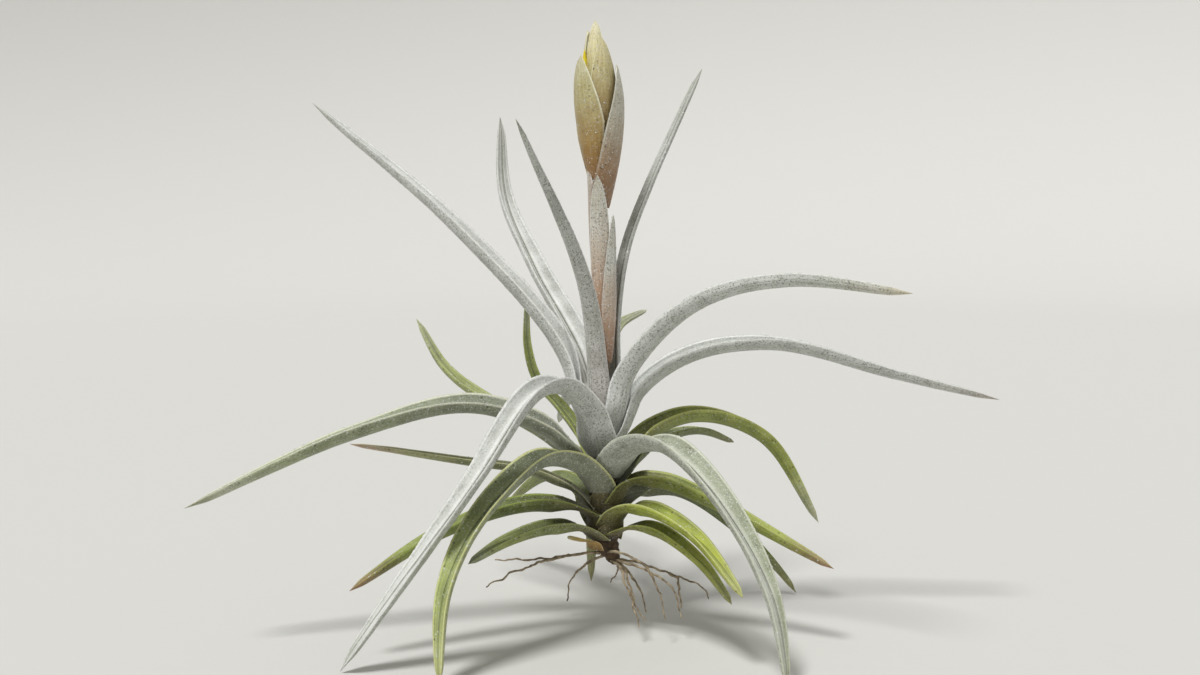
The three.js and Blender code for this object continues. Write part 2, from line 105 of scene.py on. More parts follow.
# The lowest and oldest leaf comes first.
LEAVES = (
    Leaf("leaf_01_dead", 5.5, ((236, 7, 28), (222, 9.5, 28.8), (208, 12, 29.6)),
         ("9c7434", "c8a052", "d6ba70", "e6d8b0"), "e0cfa0", (0.03, 0.03)),
    Leaf("leaf_02", 11, ((85, 9, 31), (85, 18, 35), (85, 40, 34), (84, 68, 22)),
         ("6e6a38", "6f7c2e", "8a9640", "b3ae80"), "a3a85c", (0.06, 0.08)),
    Leaf("leaf_03", 13, ((215, 8, 31), (215, 18, 33.5), (215, 31, 32), (215, 44, 27.5)),
         ("6c6434", "7a8430", "98a348", "b8bea8"), "a8b070", (0.08, 0.1)),
    Leaf("leaf_04", 11, ((325, 8, 31.5), (325, 17, 32.5), (325, 30, 26.5), (325, 41, 16)),
         ("746c34", "9aa232", "abb23c", "c8c68a"), "b4bc5c", (0.05, 0.06)),
    Leaf("leaf_05", 12, ((115, 9, 35), (115, 20, 39), (115, 42, 38), (116, 72, 24)),
         ("6e6a38", "6f7c2e", "8a9640", "b3ae80"), "a3a85c", (0.06, 0.08)),
    Leaf("leaf_06", 13, ((312, 8, 36.5), (313, 17, 39), (315, 33, 34.5), (316, 49, 21)),
         ("787238", "aab630", "bcc636", "d6d892"), "d4d890", (0.04, 0.06)),
    Leaf("leaf_07", 14, ((200, 8, 36.5), (200, 22, 39.5), (200, 47, 33.5), (200, 72, 20)),
         ("6c6434", "76842c", "8f9c36", "a4765a"), "98a650", (0.06, 0.08)),
    Leaf("leaf_08", 12, ((37, 9, 38.5), (36, 26, 38.5), (34, 50, 23), (32, 66, 7), (31, 71, -1)),
         ("5e5c32", "5f6e28", "788634", "a4a06c"), "8c9848", (0.06, 0.08)),
    Leaf("leaf_09", 8, ((185, 8, 41), (185, 19, 47), (185, 41, 51), (185, 71, 56)),
         ("64603a", "82864a", "a6a868", "d2aa9a"), "d0d0a0", (0.12, 0.18)),
    Leaf("leaf_10", 14, ((347, 8, 44), (347, 16, 45), (347, 27, 41.5), (347, 64, 23)),
         ("78703e", "97a22e", "a4ae3a", "b98a6c"), "b9c070", (0.06, 0.08)),
    Leaf("leaf_11", 12, ((95, 8, 44), (95, 19, 50), (95, 36, 41), (95, 47, 12), (95, 49, -1)),
         ("6e6a38", "6f7c2e", "8a9640", "b3ae80"), "a3a85c", (0.08, 0.1)),
    Leaf("leaf_12", 16, ((231, 8, 46.5), (231, 14, 52), (228, 26, 54), (224, 45, 41),
                         (223, 55, 24), (225, 59, -1)),
         ("72744e", "6c7846", "a0ae3e", "c4ca78"), "dadc98", (0.22, 0.13), 72, 88),
    Leaf("leaf_13", 10, ((33, 8, 46.5), (34, 16, 53), (36, 34, 55.5), (37, 50, 50)),
         ("6a6a40", "6f7a3c", "828c40", "a4a074"), "949c58", (0.1, 0.14)),
    Leaf("leaf_14", 12, ((150, 8, 48), (150, 18, 55), (150, 42, 65), (150, 57, 74), (150, 67, 88)),
         ("5e6034", "87933a", "a6ae48", "cacea2"), "b4bc78", (0.16, 0.14)),
    Leaf("leaf_15", 17, ((300, 8, 50), (302, 14, 56.2), (306, 28, 58.4), (311, 45, 46),
                         (315, 58, 24), (316, 63, -1)),
         ("7a7e58", "848e52", "8d9a5a", "b4bc86"), "dfe2ce", (0.34, 0.4), 72, 80, fair_half=-1),
    Leaf("leaf_16", 16, ((190, 8, 51), (190, 17, 60), (190, 38, 67), (190, 70, 60), (190, 114, 41)),
         ("7a7e60", "76804e", "8a9846", "c0c0a4"), "e8e8d2", (0.26, 0.3), twist=-12),
    Leaf("leaf_17", 15, ((19, 8, 52), (19, 14, 58), (18, 28, 62), (18, 49, 54.5), (18, 68, 27)),
         ("80803c", "9ea834", "b0ba3e", "e8e8d0"), "c0c474", (0.09, 0.08)),
    Leaf("leaf_18", 8, ((125, 8, 53), (125, 22, 62), (125, 37, 70), (125, 42, 80), (125, 42, 94)),
         ("7c7e3c", "8f9a34", "98a23e", "b8bca4"), "a2aa50", (0.1, 0.1)),
    Leaf("leaf_19", 14.8, ((246, 7.5, 56), (243, 10.5, 65.2), (236.7, 20.3, 73.6), (234.3, 32, 72.8),
                         (224, 46, 51.5), (204, 75.5, -1)),
         ("8b8e86", "8c9088", "8f9382", "a9ad98"), "f2f2ee", (0.66, 0.84), 70, 104,
         taper=0.4, twist=-15),
    Leaf("leaf_20", 13, ((100, 8, 56), (100, 15, 62), (100, 34, 67), (100, 62, 62), (100, 94, 46)),
         ("888c70", "848e66", "8c9a66", "a6ac78"), "d0d4bc", (0.45, 0.4)),
    Leaf("leaf_21", 14, ((5, 6.5, 59), (5, 9, 69), (5, 23, 79.5), (5, 48, 83),
                         (5, 85, 73.5), (5, 115, 66)),
         ("8b8e86", "8c9088", "90938c", "c4aca0"), "f2f2ee", (0.7, 0.78), twist=8),
    Leaf("leaf_22", 16, ((162, 6.6, 60), (162, 11.5, 80), (162, 45, 116), (162, 92, 153)),
         ("8b8e86", "8c9088", "92958e", "b4b3a8"), "f2f2ee", (0.74, 0.82)),
    Leaf("leaf_23", 12.5, ((318, 6, 63), (320, 7, 73), (326, 16, 85.5), (328, 32, 97),
                         (330, 54, 102), (330, 86, 99.5)),
         ("8b8e86", "8c9088", "a3a394", "ead9a8"), "f2f2ee", (0.74, 0.8), taper=0.36),
    Leaf("leaf_24", 9, ((84, 6.2, 64), (84, 10, 73), (82, 24, 85), (73, 46, 90)),
         ("74783f", "7d8646", "949a62", "dadcc6"), "acb080", (0.18, 0.2)),
    Leaf("leaf_25", 11.5, ((240, 4.6, 66), (240, 5.6, 79), (240, 12, 101), (240, 44, 142)),
         ("b59a94", "a59c96", "92958e", "b4b3a8"), "f2f2ee", (0.56, 0.76), taper=0.8),
    Leaf("leaf_26", 15, ((130, 4.8, 67), (130, 10, 80), (130, 31, 103), (130, 48, 126), (130, 50, 150)),
         ("8b8e86", "8c9088", "92958e", "b4b3a8"), "f2f2ee", (0.72, 0.8)),
    Leaf("leaf_27", 7, ((40, 4.2, 70), (40, 4.3, 90), (38, 8.2, 111), (35.5, 24.4, 143.5),
                        (34, 34.2, 161.8)),
         ("7f827a", "84877e", "898c84", "b4b3a8"), "c2c4bc", (0.6, 0.55), taper=0.35),
)
FIRST_SILVER = 18


class Bract(NamedTuple):
    """A bract: azimuth, heights of foot and tip, widest arc, swell, where it swells most, how far
    its tip is from the stalk's middle, its colours as a leaf has them and where it narrows.

    Its foot has a share of its widest arc, and clasps at most so many degrees to each side.
    """

    name: str
    azimuth: float
    foot: float
    tip: float
    width: float
    swell: float
    swell_at: float
    tip_reach: float
    skin: tuple
    # The edge colour paints the margins, and also the painted highlight bands on the inner face.
    edge: str
    scaly: tuple
    narrows_at: float = 0.4
    foot_share: float = 0.4
    clasp: float = 70


TAN_TO_SILVER = ("b58460", "bf9a7c", "c2baa8", "dadad0")
AMBER_TO_IVORY = ("9c7444", "b09450", "c4ba7c", "e6e1b0")
BRACTS = (
    Bract("scape_bract_1", 130, 66, 97, 5, 2.9, 0.5, 2.8, TAN_TO_SILVER, "e6e4dc", (0.4, 0.3)),
    Bract("scape_bract_2", 325, 78, 119.3, 9, 4.2, 0.5, 4.5, TAN_TO_SILVER, "e6e4dc", (0.66, 0.4), 0.1),
    Bract("scape_bract_3", 265, 87, 130, 6, 3.5, 0.6, 5.3, TAN_TO_SILVER, "f0eee6", (0.5, 0.4), 0.62),
    Bract("scape_bract_4", 175, 104, 134, 9, 3.1, 0.6, 3.4,
          ("a88a76", "ae9482", "b8a898", "d8d0c4"), "e0d8cc", (0.3, 0.2), 0.6),
    Bract("floral_bract_1", 345, 121, 160, 15, 7.3, 0.72, 5.6,
          ("96704e", "a07a4c", "aea684", "d2d2c2"), "e2e0d0", (0.4, 0.3),
          foot_share=1, clasp=110),
    Bract("floral_bract_2", 105, 127, 161, 13, 6.8, 0.7, 4.8, AMBER_TO_IVORY, "ece6c4", (0.2, 0.1)),
    Bract("floral_bract_3", 217, 128.5, 162.3, 15, 6.6, 0.7, 5.5,
          ("9c7444", "ab8b48", "bcb67a", "e0e2c4"), "eeecd4", (0.14, 0.1)),
    Bract("floral_bract_4", 300, 135, 167, 11, 5.4, 0.5, 3,
          ("9c7450", "a68a54", "bfb374", "e2d9a8"), "ebe6c0", (0.12, 0.1)),
    Bract("floral_bract_5", 50, 138, 165, 10, 5.2, 0.5, 3.2, AMBER_TO_IVORY, "ece6c4", (0.2, 0.1)),
    Bract("floral_bract_6", 165, 140, 169.5, 9, 4.4, 0.5, 2.4, AMBER_TO_IVORY, "ece6c4", (0.15, 0.1)),
    Bract("floral_bract_7", 260, 143, 172, 8, 3.6, 0.45, 1.2,
          ("b09c58", "ccc080", "e4deac", "f5f1d0"), "f8f5da", (0.1, 0.1)),
)

# Brown sheaths of shed leaves still clasp the stem between the living ones.
SHEATH_SKIN = ("54452c", "665a34", "766c40", "988c60")
OLD_SHEATHS = (
    Bract("old_sheath_1", 300, 28.6, 34.2, 10, 5.3, 0.6, 5.6, SHEATH_SKIN, "a0946a", (0.04, 0.04)),
    Bract("old_sheath_2", 228, 30.6, 37, 10, 5.1, 0.6, 5.4, SHEATH_SKIN, "a0946a", (0.04, 0.04)),
    Bract("old_sheath_3", 270, 35.6, 43.6, 10.5, 4.9, 0.6, 5.2, SHEATH_SKIN, "a0946a", (0.04, 0.04)),
)

# The stem, the stalk and the roots, with the measures of their solids.
STEM_HEIGHTS = (20.3, 21.3, 23, 25.5, 64.5)
STEM_RADII = (0.9, 1.9, 2.6, 4, 2.6)
STEM_BEND = 2.6
STALK_FOOT, STALK_NECK, STALK_HEAD = 64.8, 128, 160
STALK_RADIUS, STALK_HEAD_RADIUS = 1.6, 0.8
STALK_LEAN = math.radians(1.15)
LEAN_START = 50
SEAT = 0.3
FIRST_NODE, NODE_SPACING = 25.5, 1.42
SHEATH_WIDTH, CLASP_LENGTH, CHANNEL_AT_BASE = 15, 13, 46
SHEATH_THICKNESS, BRACT_THICKNESS = 0.8, 0.7
LEAF_END_WIDTH, BRACT_END_WIDTH, END_SHARE = 1.4, 0.9, 0.05
SCAR_SPACING = 1.84
# How finely each piece is drawn.
LEAF_RAIL_POINTS, BRACT_RAIL_POINTS, ROOT_RAIL_POINTS = 160, 120, 60
BRACT_STATIONS, OLD_SHEATH_STATIONS, ROOT_SIDES = 64, 40, 8
STEM_COLUMNS, STALK_COLUMNS, FLOWER_COLUMNS, FLOOR_COLUMNS = 48, 32, 36, 96
# Flowers: the name of the piece, azimuth, reach, heights of foot and tip, and radius.
FLOWERS = (
    ("rolled_petals", 210, 3.9, 142, 164, 0.95),
    ("closed_sepals_1", 75, 2.5, 138, 164, 1.45),
    ("closed_sepals_2", 350, 2.5, 137, 162.5, 1.45),
    ("closed_sepals_3", 145, 2.2, 139, 165, 1.3),
)
# Each root's route, as points from the plant's axis.
ROOTS = (
    ((0, -2, 24.5), (3.5, -6, 25.4), (6.6, -7.5, 24.6), (12, -9, 21), (14.8, -10, 15.5),
     (16.6, -11, 8)),
    ((1, -1, 22), (7, -4, 21.5), (12, -6, 20.3), (17.2, -7.5, 17.3), (19.6, -8, 13.5), (21.4, -8, 7)),
    ((1, 0, 22), (7, -2, 21.8), (15.5, -3.5, 19.8), (22.8, -5, 17.2), (27.6, -6, 14.9), (29.2, -6, 12)),
    ((18, -4, 18.9), (20.6, -4.5, 17.4), (20.9, -4.5, 13), (21.6, -4.5, 8.8)),
    ((1, -1, 22), (3.9, -3.4, 21), (5.7, -7, 16.5), (8.5, -9, 9.3), (9.6, -9.6, 5)),
    ((1.5, -1, 21.7), (4.8, -3, 20.3), (6.9, -6.4, 16), (9.3, -8.2, 9.5), (10.8, -9, 6.5)),
    ((-1, -1, 23.8), (-4.5, -3.6, 24.6), (-16.7, -8, 24.1), (-30.2, -12, 24.8)),
    ((-10, -5.6, 24.5), (-18, -10, 23.6), (-24.6, -14, 22.1), (-32.3, -19, 19.3)),
    ((1, 1, 22), (6, 3.5, 18), (10, 5, 11), (12, 7, 4)),
    ((0, 2, 22.5), (-6, 7, 18), (-10, 12, 12), (-11, 14, 5)),
    ((0, 2, 22.5), (3, 9, 19.5), (4, 17, 14), (2, 22, 8)),
)

stalk_low, stalk_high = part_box("stalk")
PLANT_AXIS = Vector((stalk_high.x - STALK_RADIUS * MM, (stalk_low.y + stalk_high.y) / 2, 0))
TO_AXIS = Matrix.Translation(PLANT_AXIS)
LEANED = TO_AXIS @ Matrix(
    (
        (1, 0, -math.tan(STALK_LEAN), math.tan(STALK_LEAN) * LEAN_START * MM),
        (0, 1, 0, 0),
        (0, 0, 1, 0),
        (0, 0, 0, 1),
    )
)


# Sizes and colours that a user would change


class LeafSizes(bpy.types.PropertyGroup):
    """Sizes that all blades share."""

    stations: bpy.props.IntProperty(
        name="Stations", description="Rows of faces along a blade", default=110, min=12
    )
    columns: bpy.props.IntProperty(
        name="Columns", description="Faces round a blade, both faces together", default=36, min=8
    )
    keel: bpy.props.FloatProperty(
        name="Keel", description="Thickness in a blade's middle", default=0.0012, unit="LENGTH"
    )
    sheath: bpy.props.FloatProperty(
        name="Sheath", description="Thickness where a leaf clasps the stem",
        default=0.0008, unit="LENGTH",
    )
    margin: bpy.props.FloatProperty(
        name="Margin", description="A margin's thickness as a share of the keel's",
        default=0.4, subtype="FACTOR",
    )
    crest: bpy.props.FloatProperty(
        name="Crest", description="How far the keel stands out, as a share of its thickness",
        default=0.22, subtype="FACTOR",
    )
    unevenness: bpy.props.FloatProperty(
        name="Unevenness", description="How far a blade strays from its rule",
        default=0.0003, unit="LENGTH",
    )


class ScaleSizes(bpy.types.PropertyGroup):
    """The silver scales that drink for the plant.

    Real ones are half as wide and far more crowded, which is too fine to show.
    """

    radius: bpy.props.FloatProperty(
        name="Radius", description="Radius of one scale's shield", default=0.00022, unit="LENGTH"
    )
    spread: bpy.props.FloatProperty(
        name="Spread", description="Scales on each square metre of a fully silver face", default=900000
    )
    seed: bpy.props.IntProperty(name="Seed", description="Picks where the scales lie", default=7)


class RootSizes(bpy.types.PropertyGroup):
    """The wiry roots."""

    radius: bpy.props.FloatProperty(
        name="Radius", description="Radius where a root leaves the stem", default=0.00045, unit="LENGTH"
    )
    waviness: bpy.props.FloatProperty(
        name="Waviness", description="How far a root strays from its route",
        default=0.0009, unit="LENGTH",
    )


def linear(hex_colour):
    """An sRGB hex colour as linear red, green, blue and alpha."""
    shares = [int(hex_colour[i : i + 2], 16) / 255 for i in (0, 2, 4)]
    return (*[s / 12.92 if s <= 0.04045 else ((s + 0.055) / 1.055) ** 2.4 for s in shares], 1)


def colour_property(name, description, hex_colour):
    return bpy.props.FloatVectorProperty(
        name=name, description=description, default=linear(hex_colour), size=4, subtype="COLOR",
        min=0, max=1,
    )


class PlantColours(bpy.types.PropertyGroup):
    """Colours that pieces share. A blade's own are in its row of the tables."""

    scales: colour_property("Scales", "The silver scales on leaves and bracts", "dfe1dd")
    # The bark's dark brown is partly its own colour and partly painted shade between the leaf bases.
    bark: colour_property("Bark", "The woody stem", "5f4a38")
    roots: colour_property("Roots", "The wiry roots", "a99a80")
    stalk: colour_property("Stalk", "The flower stalk", "a88866")
    petals: colour_property("Petals", "The petals' yellow tips", "f3e62e")
    sepals: colour_property("Sepals", "The closed flowers inside the spike", "ccc98c")
    floor: colour_property("Floor", "The studio floor and its cove", "cbcac6")


class PlantSettings(bpy.types.PropertyGroup):
    """All settings of the plant."""

    leaves: bpy.props.PointerProperty(type=LeafSizes)
    scales: bpy.props.PointerProperty(type=ScaleSizes)
    roots: bpy.props.PointerProperty(type=RootSizes)
    colours: bpy.props.PointerProperty(type=PlantColours)


# Rails: the lines that blades and roots follow


def smoothstep(values, low, high):
    share = np.clip((values - low) / (high - low), 0, 1)
    return share * share * (3 - 2 * share)


def blend(start, end, share):
    return start + (end - start) * share


def polar(azimuth, reach, height):
    angle = math.radians(azimuth)
    return (reach * math.cos(angle), reach * math.sin(angle), height)


def stem_radius(height):
    return float(np.interp(height, STEM_HEIGHTS, STEM_RADII))


def stalk_radius(height):
    return blend(STALK_RADIUS, STALK_HEAD_RADIUS, smoothstep(height, STALK_NECK, STALK_HEAD))


def smooth_line(stops, count):
    """Evenly spaced points on a centripetal curve through the stops, and its length."""
    stops = np.array(stops, float)
    stops = np.vstack([2 * stops[0] - stops[1], stops, 2 * stops[-1] - stops[-2]])
    share = np.linspace(0, 1, 64, endpoint=False)[:, None]
    pieces = []
    for before, start, end, after in zip(stops, stops[1:], stops[2:], stops[3:]):
        lead, span, tail = (
            np.linalg.norm(b - a) ** 0.5 for a, b in ((before, start), (start, end), (end, after))
        )
        leave = span * (
            (start - before) / lead - (end - before) / (lead + span) + (end - start) / span
        )
        arrive = span * (
            (end - start) / span - (after - start) / (span + tail) + (after - end) / tail
        )
        pieces.append(
            (2 * share**3 - 3 * share**2 + 1) * start
            + (share**3 - 2 * share**2 + share) * leave
            + (3 * share**2 - 2 * share**3) * end
            + (share**3 - share**2) * arrive
        )
    line = np.vstack([*pieces, stops[-2:-1]])
    run = np.concatenate([[0], np.cumsum(np.linalg.norm(np.diff(line, axis=0), axis=1))])
    even = np.linspace(0, run[-1], count)
    return np.column_stack([np.interp(even, run, line[:, axis]) for axis in range(3)]), run[-1]


def rail_mesh(name, points, side, section, form, rise):
    """A chain of points in millimetres, which carries what the blade tree reads at each one."""
    mesh = bpy.data.meshes.new(name)
    chain = [(i, i + 1) for i in range(len(points) - 1)]
    mesh.from_pydata([Vector(p) * MM for p in points], chain, [])
    for attribute, values in (("side", side), ("section", section), ("form", form), ("rise", rise)):
        layer = mesh.attributes.new(attribute, "FLOAT_VECTOR", "POINT")
        layer.data.foreach_set("vector", np.asarray(values, float).ravel())
    return mesh


def leaf_rail(leaf, order, sizes):
    """The rail of a leaf, with the same rules as its solid, but a sharp tip."""
    node = FIRST_NODE + NODE_SPACING * order
    stops = [polar(leaf.way[0][0], stem_radius(node) + SEAT + SHEATH_THICKNESS, node)]
    # A leaf that rests on the floor ends on it.
    stops += [polar(azimuth, reach, max(height, 0.5)) for azimuth, reach, height in leaf.way]
    points, length = smooth_line(stops, LEAF_RAIL_POINTS)
    along = np.linspace(0, 1, len(points))

    tangents = np.gradient(points, axis=0)
    tangents /= np.linalg.norm(tangents, axis=1)[:, None]
    side = np.array(polar(leaf.way[0][0] + 90, 1, 0))
    sides = []
    twist = np.radians(leaf.twist) * smoothstep(along, 0.05, 0.2) * (1 - smoothstep(along, 0.3, 0.6))
    for tangent, turn in zip(tangents, twist):
        side = side - side.dot(tangent) * tangent
        side /= np.linalg.norm(side)
        sides.append(math.cos(turn) * side + math.sin(turn) * np.cross(tangent, side))

    opening = smoothstep(along * length, 0, CLASP_LENGTH)
    sharp = np.clip((1 - along) / END_SHARE, 0, 1) ** 0.7
    blade = blend(LEAF_END_WIDTH, leaf.width, (1 - along) ** leaf.taper) * sharp
    width = blend(min(SHEATH_WIDTH, leaf.width), blade, opening)
    channel = blend(CHANNEL_AT_BASE, leaf.fold, smoothstep(along, 0, 0.2))
    channel = np.radians(blend(channel, leaf.channel, smoothstep(along, 0.3, 0.5)))
    radius = width / (2 * channel)
    fill = 0.8 * smoothstep(along, 0.5, 0.95)
    wrap = np.minimum(width / (2 * np.hypot(points[:, 0], points[:, 1])), math.radians(95))
    keel = blend(sizes.sheath, sizes.keel, opening) * np.clip(along / 0.01, 0, 1)
    # The keel of a narrow blade stays well inside its arc.
    keel = np.minimum(keel, 0.65 * radius * MM)
    lift = radius * (1 - 0.5 * opening * (1 - np.cos(channel)))
    return rail_mesh(
        leaf.name,
        points,
        np.array(sides),
        np.column_stack([radius * MM, channel, wrap]),
        np.column_stack([opening, fill, keel]),
        np.column_stack([lift, -radius * np.cos(channel), radius * np.sin(channel)]) * MM,
    )


def bract_rail(bract, core_radius):
    """The rail of a bract or sheath, which wraps round its stalk or stem along all its length."""
    along = np.linspace(0, 1, BRACT_RAIL_POINTS)
    height = blend(bract.foot, bract.tip, along)
    close = core_radius(bract.foot) + SEAT + BRACT_THICKNESS
    past = np.clip((along - bract.swell_at) / (1 - bract.swell_at), 0, 1)
    rising = np.sin(np.pi / 2 * np.minimum(along / bract.swell_at, 1))
    reach = np.where(
        along < bract.swell_at,
        blend(close, bract.swell, rising),
        blend(bract.swell, bract.tip_reach, past**1.8),
    )
    narrower = np.maximum(0, along - bract.narrows_at) / (1 - bract.narrows_at)
    narrowing = np.minimum(1, bract.foot_share + 1.5 * along) * (1 - narrower**2)
    narrowing = narrowing * np.clip(along / 0.1, 0, 1) ** 0.5
    sharp = np.clip((1 - along) / END_SHARE, 0, 1) ** 0.7
    width = blend(BRACT_END_WIDTH, bract.width, narrowing) * sharp
    wrap = np.minimum(width / (2 * reach), math.radians(bract.clasp))
    keel = BRACT_THICKNESS * MM * np.clip(np.minimum(along, 1 - along) / 0.02, 0, 1)
    points = np.array([polar(bract.azimuth, r, h) for r, h in zip(reach, height)])
    nothing = np.zeros(len(along))
    side = np.tile(polar(bract.azimuth + 90, 1, 0), (len(along), 1))
    return rail_mesh(
        bract.name,
        points,
        side,
        np.column_stack([nothing + MM, nothing + 0.1, wrap]),
        np.column_stack([nothing, nothing, keel]),
        np.column_stack([nothing, nothing, nothing]),
    )


# Node trees


def add(tree, kind, inputs=(), **settings):
    """Adds a node with its settings, and links or sets each of its inputs. Returns its outputs."""
    node = tree.nodes.new(kind)
    for name, value in settings.items():
        setattr(node, name, value)
    for key, value in inputs.items() if isinstance(inputs, dict) else enumerate(inputs):
        if isinstance(value, bpy.types.NodeSocket):
            tree.links.new(value, node.inputs[key])
        else:
            node.inputs[key].default_value = value
    return node.outputs


def new_shape_tree(name, inputs):
    """An empty geometry tree with named inputs. Returns it and the sockets that bring them in."""
    tree = bpy.data.node_groups.new(name, "GeometryNodeTree")
    tree.interface.new_socket("Geometry", in_out="OUTPUT", socket_type="NodeSocketGeometry")
    for label, kind in inputs.items():
        tree.interface.new_socket(label, in_out="INPUT", socket_type=kind)
    return tree, tree.nodes.new("NodeGroupInput").outputs


def blade_tree():
    """Sweeps a channelled blade along a rail, and strews scales over it."""
    tree, given = new_shape_tree(
        "blade",
        {
            "Rail": "NodeSocketGeometry",
            "Stations": "NodeSocketInt",
            "Columns": "NodeSocketInt",
            "Margin": "NodeSocketFloat",
            "Crest": "NodeSocketFloat",
            "Unevenness": "NodeSocketFloat",
            "Scale Radius": "NodeSocketFloat",
            "Scale Spread": "NodeSocketFloat",
            "Seed": "NodeSocketInt",
            "Skin": "NodeSocketMaterial",
            "Scales": "NodeSocketMaterial",
        },
    )
    # A unit grid: X runs along the blade, and Y once round it, over both of its faces.
    grid = add(
        tree,
        "GeometryNodeMeshGrid",
        {"Size X": 1.0, "Size Y": 1.0, "Vertices X": given["Stations"], "Vertices Y": given["Columns"]},
    )["Mesh"]
    spot = add(tree, "ShaderNodeSeparateXYZ", [add(tree, "GeometryNodeInputPosition")[0]])
    along = add(tree, MATH, [spot["X"], 0.5], **PLUS)[0]
    phase = add(tree, RANGE, [spot["Y"], -0.5, 0.5, 0.0, 2 * math.pi])[0]
    cosine = add(tree, MATH, [phase], operation="COSINE")[0]
    across = add(tree, MATH, [cosine, -1.0], **TIMES)[0]
    inner = add(tree, MATH, [phase, math.pi + 1e-4], operation="GREATER_THAN")[0]

    # What the rail says at each station.
    rail = add(tree, "GeometryNodeMeshToCurve", [given["Rail"]])[0]
    read = {}
    for name in ("side", "section", "form", "rise"):
        value = add(
            tree, "GeometryNodeInputNamedAttribute", {"Name": name}, data_type="FLOAT_VECTOR"
        )[0]
        read[name] = add(
            tree,
            "GeometryNodeSampleCurve",
            {"Curves": rail, "Value": value, "Factor": along},
            data_type="FLOAT_VECTOR",
            mode="FACTOR",
        )
    keel_line, tangent = read["side"]["Position"], read["side"]["Tangent"]
    side = read["side"][0]
    radius, channel, wrap = add(tree, "ShaderNodeSeparateXYZ", [read["section"][0]])
    opening, fill, keel = add(tree, "ShaderNodeSeparateXYZ", [read["form"][0]])
    lift, lid_rise, lid_half = add(tree, "ShaderNodeSeparateXYZ", [read["rise"][0]])
    up = add(tree, VECTOR_MATH, [tangent, side], operation="CROSS_PRODUCT")[0]

    # Thickness falls from the keel to the margin, and each margin is rounded off.
    squared = add(tree, MATH, [across, across], **TIMES)[0]
    thinning = add(tree, RANGE, [squared, 0.0, 1.0, 1.0, given["Margin"]])[0]
    sine = add(tree, MATH, [phase], operation="SINE")[0]
    off_margin = add(tree, MATH, [sine], operation="ABSOLUTE")[0]
    rounding = add(
        tree, RANGE, [off_margin, 0.0, 0.35, 0.0, 1.0], interpolation_type="SMOOTHERSTEP"
    )[0]
    rounding = add(tree, MATH, [rounding, 0.5], operation="POWER")[0]
    thickness = add(tree, MATH, [keel, thinning], **TIMES)[0]
    thickness = add(tree, MATH, [thickness, rounding], **TIMES)[0]
    depth = add(tree, MATH, [thickness, inner], **TIMES)[0]

    # The keel stands out as a low crest, with a groove above it.
    falling = add(tree, MATH, [squared, -45.0], **TIMES)[0]
    peak = add(tree, MATH, [falling], operation="EXPONENT")[0]
    crest = add(tree, MATH, [keel, given["Crest"]], **TIMES)[0]
    crest = add(tree, MATH, [crest, peak], **TIMES)[0]
    inset = add(tree, MATH, [depth, crest], **MINUS)[0]

    # The open blade: an arc round a middle line, whose inner face fills up towards the tip.
    turn = add(tree, MATH, [across, channel], **TIMES)[0]
    turn_cosine = add(tree, MATH, [turn], operation="COSINE")[0]
    turn_sine = add(tree, MATH, [turn], operation="SINE")[0]
    upwards = add(tree, VECTOR_MATH, {0: up, "Scale": turn_cosine}, **SCALED)[0]
    sideways = add(tree, VECTOR_MATH, {0: side, "Scale": turn_sine}, **SCALED)[0]
    inwards = add(tree, VECTOR_MATH, [upwards, sideways], **MINUS)[0]
    lifted = add(tree, VECTOR_MATH, {0: up, "Scale": lift}, **SCALED)[0]
    middle = add(tree, VECTOR_MATH, [keel_line, lifted], **PLUS)[0]
    from_middle = add(tree, MATH, [inset, radius], **MINUS)[0]
    arc = add(tree, VECTOR_MATH, {0: inwards, "Scale": from_middle}, **SCALED)[0]
    arc = add(tree, VECTOR_MATH, [middle, arc], **PLUS)[0]
    lid_up = add(tree, VECTOR_MATH, {0: up, "Scale": lid_rise}, **SCALED)[0]
    lid_reach = add(tree, MATH, [across, lid_half], **TIMES)[0]
    lid_side = add(tree, VECTOR_MATH, {0: side, "Scale": lid_reach}, **SCALED)[0]
    lid = add(tree, VECTOR_MATH, [middle, lid_up], **PLUS)[0]
    lid = add(tree, VECTOR_MATH, [lid, lid_side], **PLUS)[0]
    fourth = add(tree, MATH, [squared, squared], **TIMES)[0]
    lid_share = add(tree, MATH, [1.0, fourth], **MINUS)[0]
    lid_share = add(tree, MATH, [lid_share, fill], **TIMES)[0]
    lid_share = add(tree, MATH, [lid_share, inner], **TIMES)[0]
    blade = add(tree, MIX, {0: lid_share, 4: arc, 5: lid}, data_type="VECTOR")[1]

    # The closed sheath: the rail's point turned about the plant's axis and drawn in by the depth.
    flat = add(tree, VECTOR_MATH, [keel_line, (1.0, 1.0, 0.0)], **TIMES)[0]
    reach = add(tree, VECTOR_MATH, [flat], operation="LENGTH")["Value"]
    wrap_turn = add(tree, MATH, [across, wrap], **TIMES)[0]
    turned = add(
        tree, "ShaderNodeVectorRotate", {"Vector": flat, "Angle": wrap_turn}, rotation_type="Z_AXIS"
    )[0]
    inset_share = add(tree, MATH, [inset, reach], operation="DIVIDE")[0]
    drawn_in = add(tree, MATH, [1.0, inset_share], **MINUS)[0]
    turned = add(tree, VECTOR_MATH, {0: turned, "Scale": drawn_in}, **SCALED)[0]
    height = add(tree, VECTOR_MATH, [keel_line, (0.0, 0.0, 1.0)], **TIMES)[0]
    sheath = add(tree, VECTOR_MATH, [turned, height], **PLUS)[0]

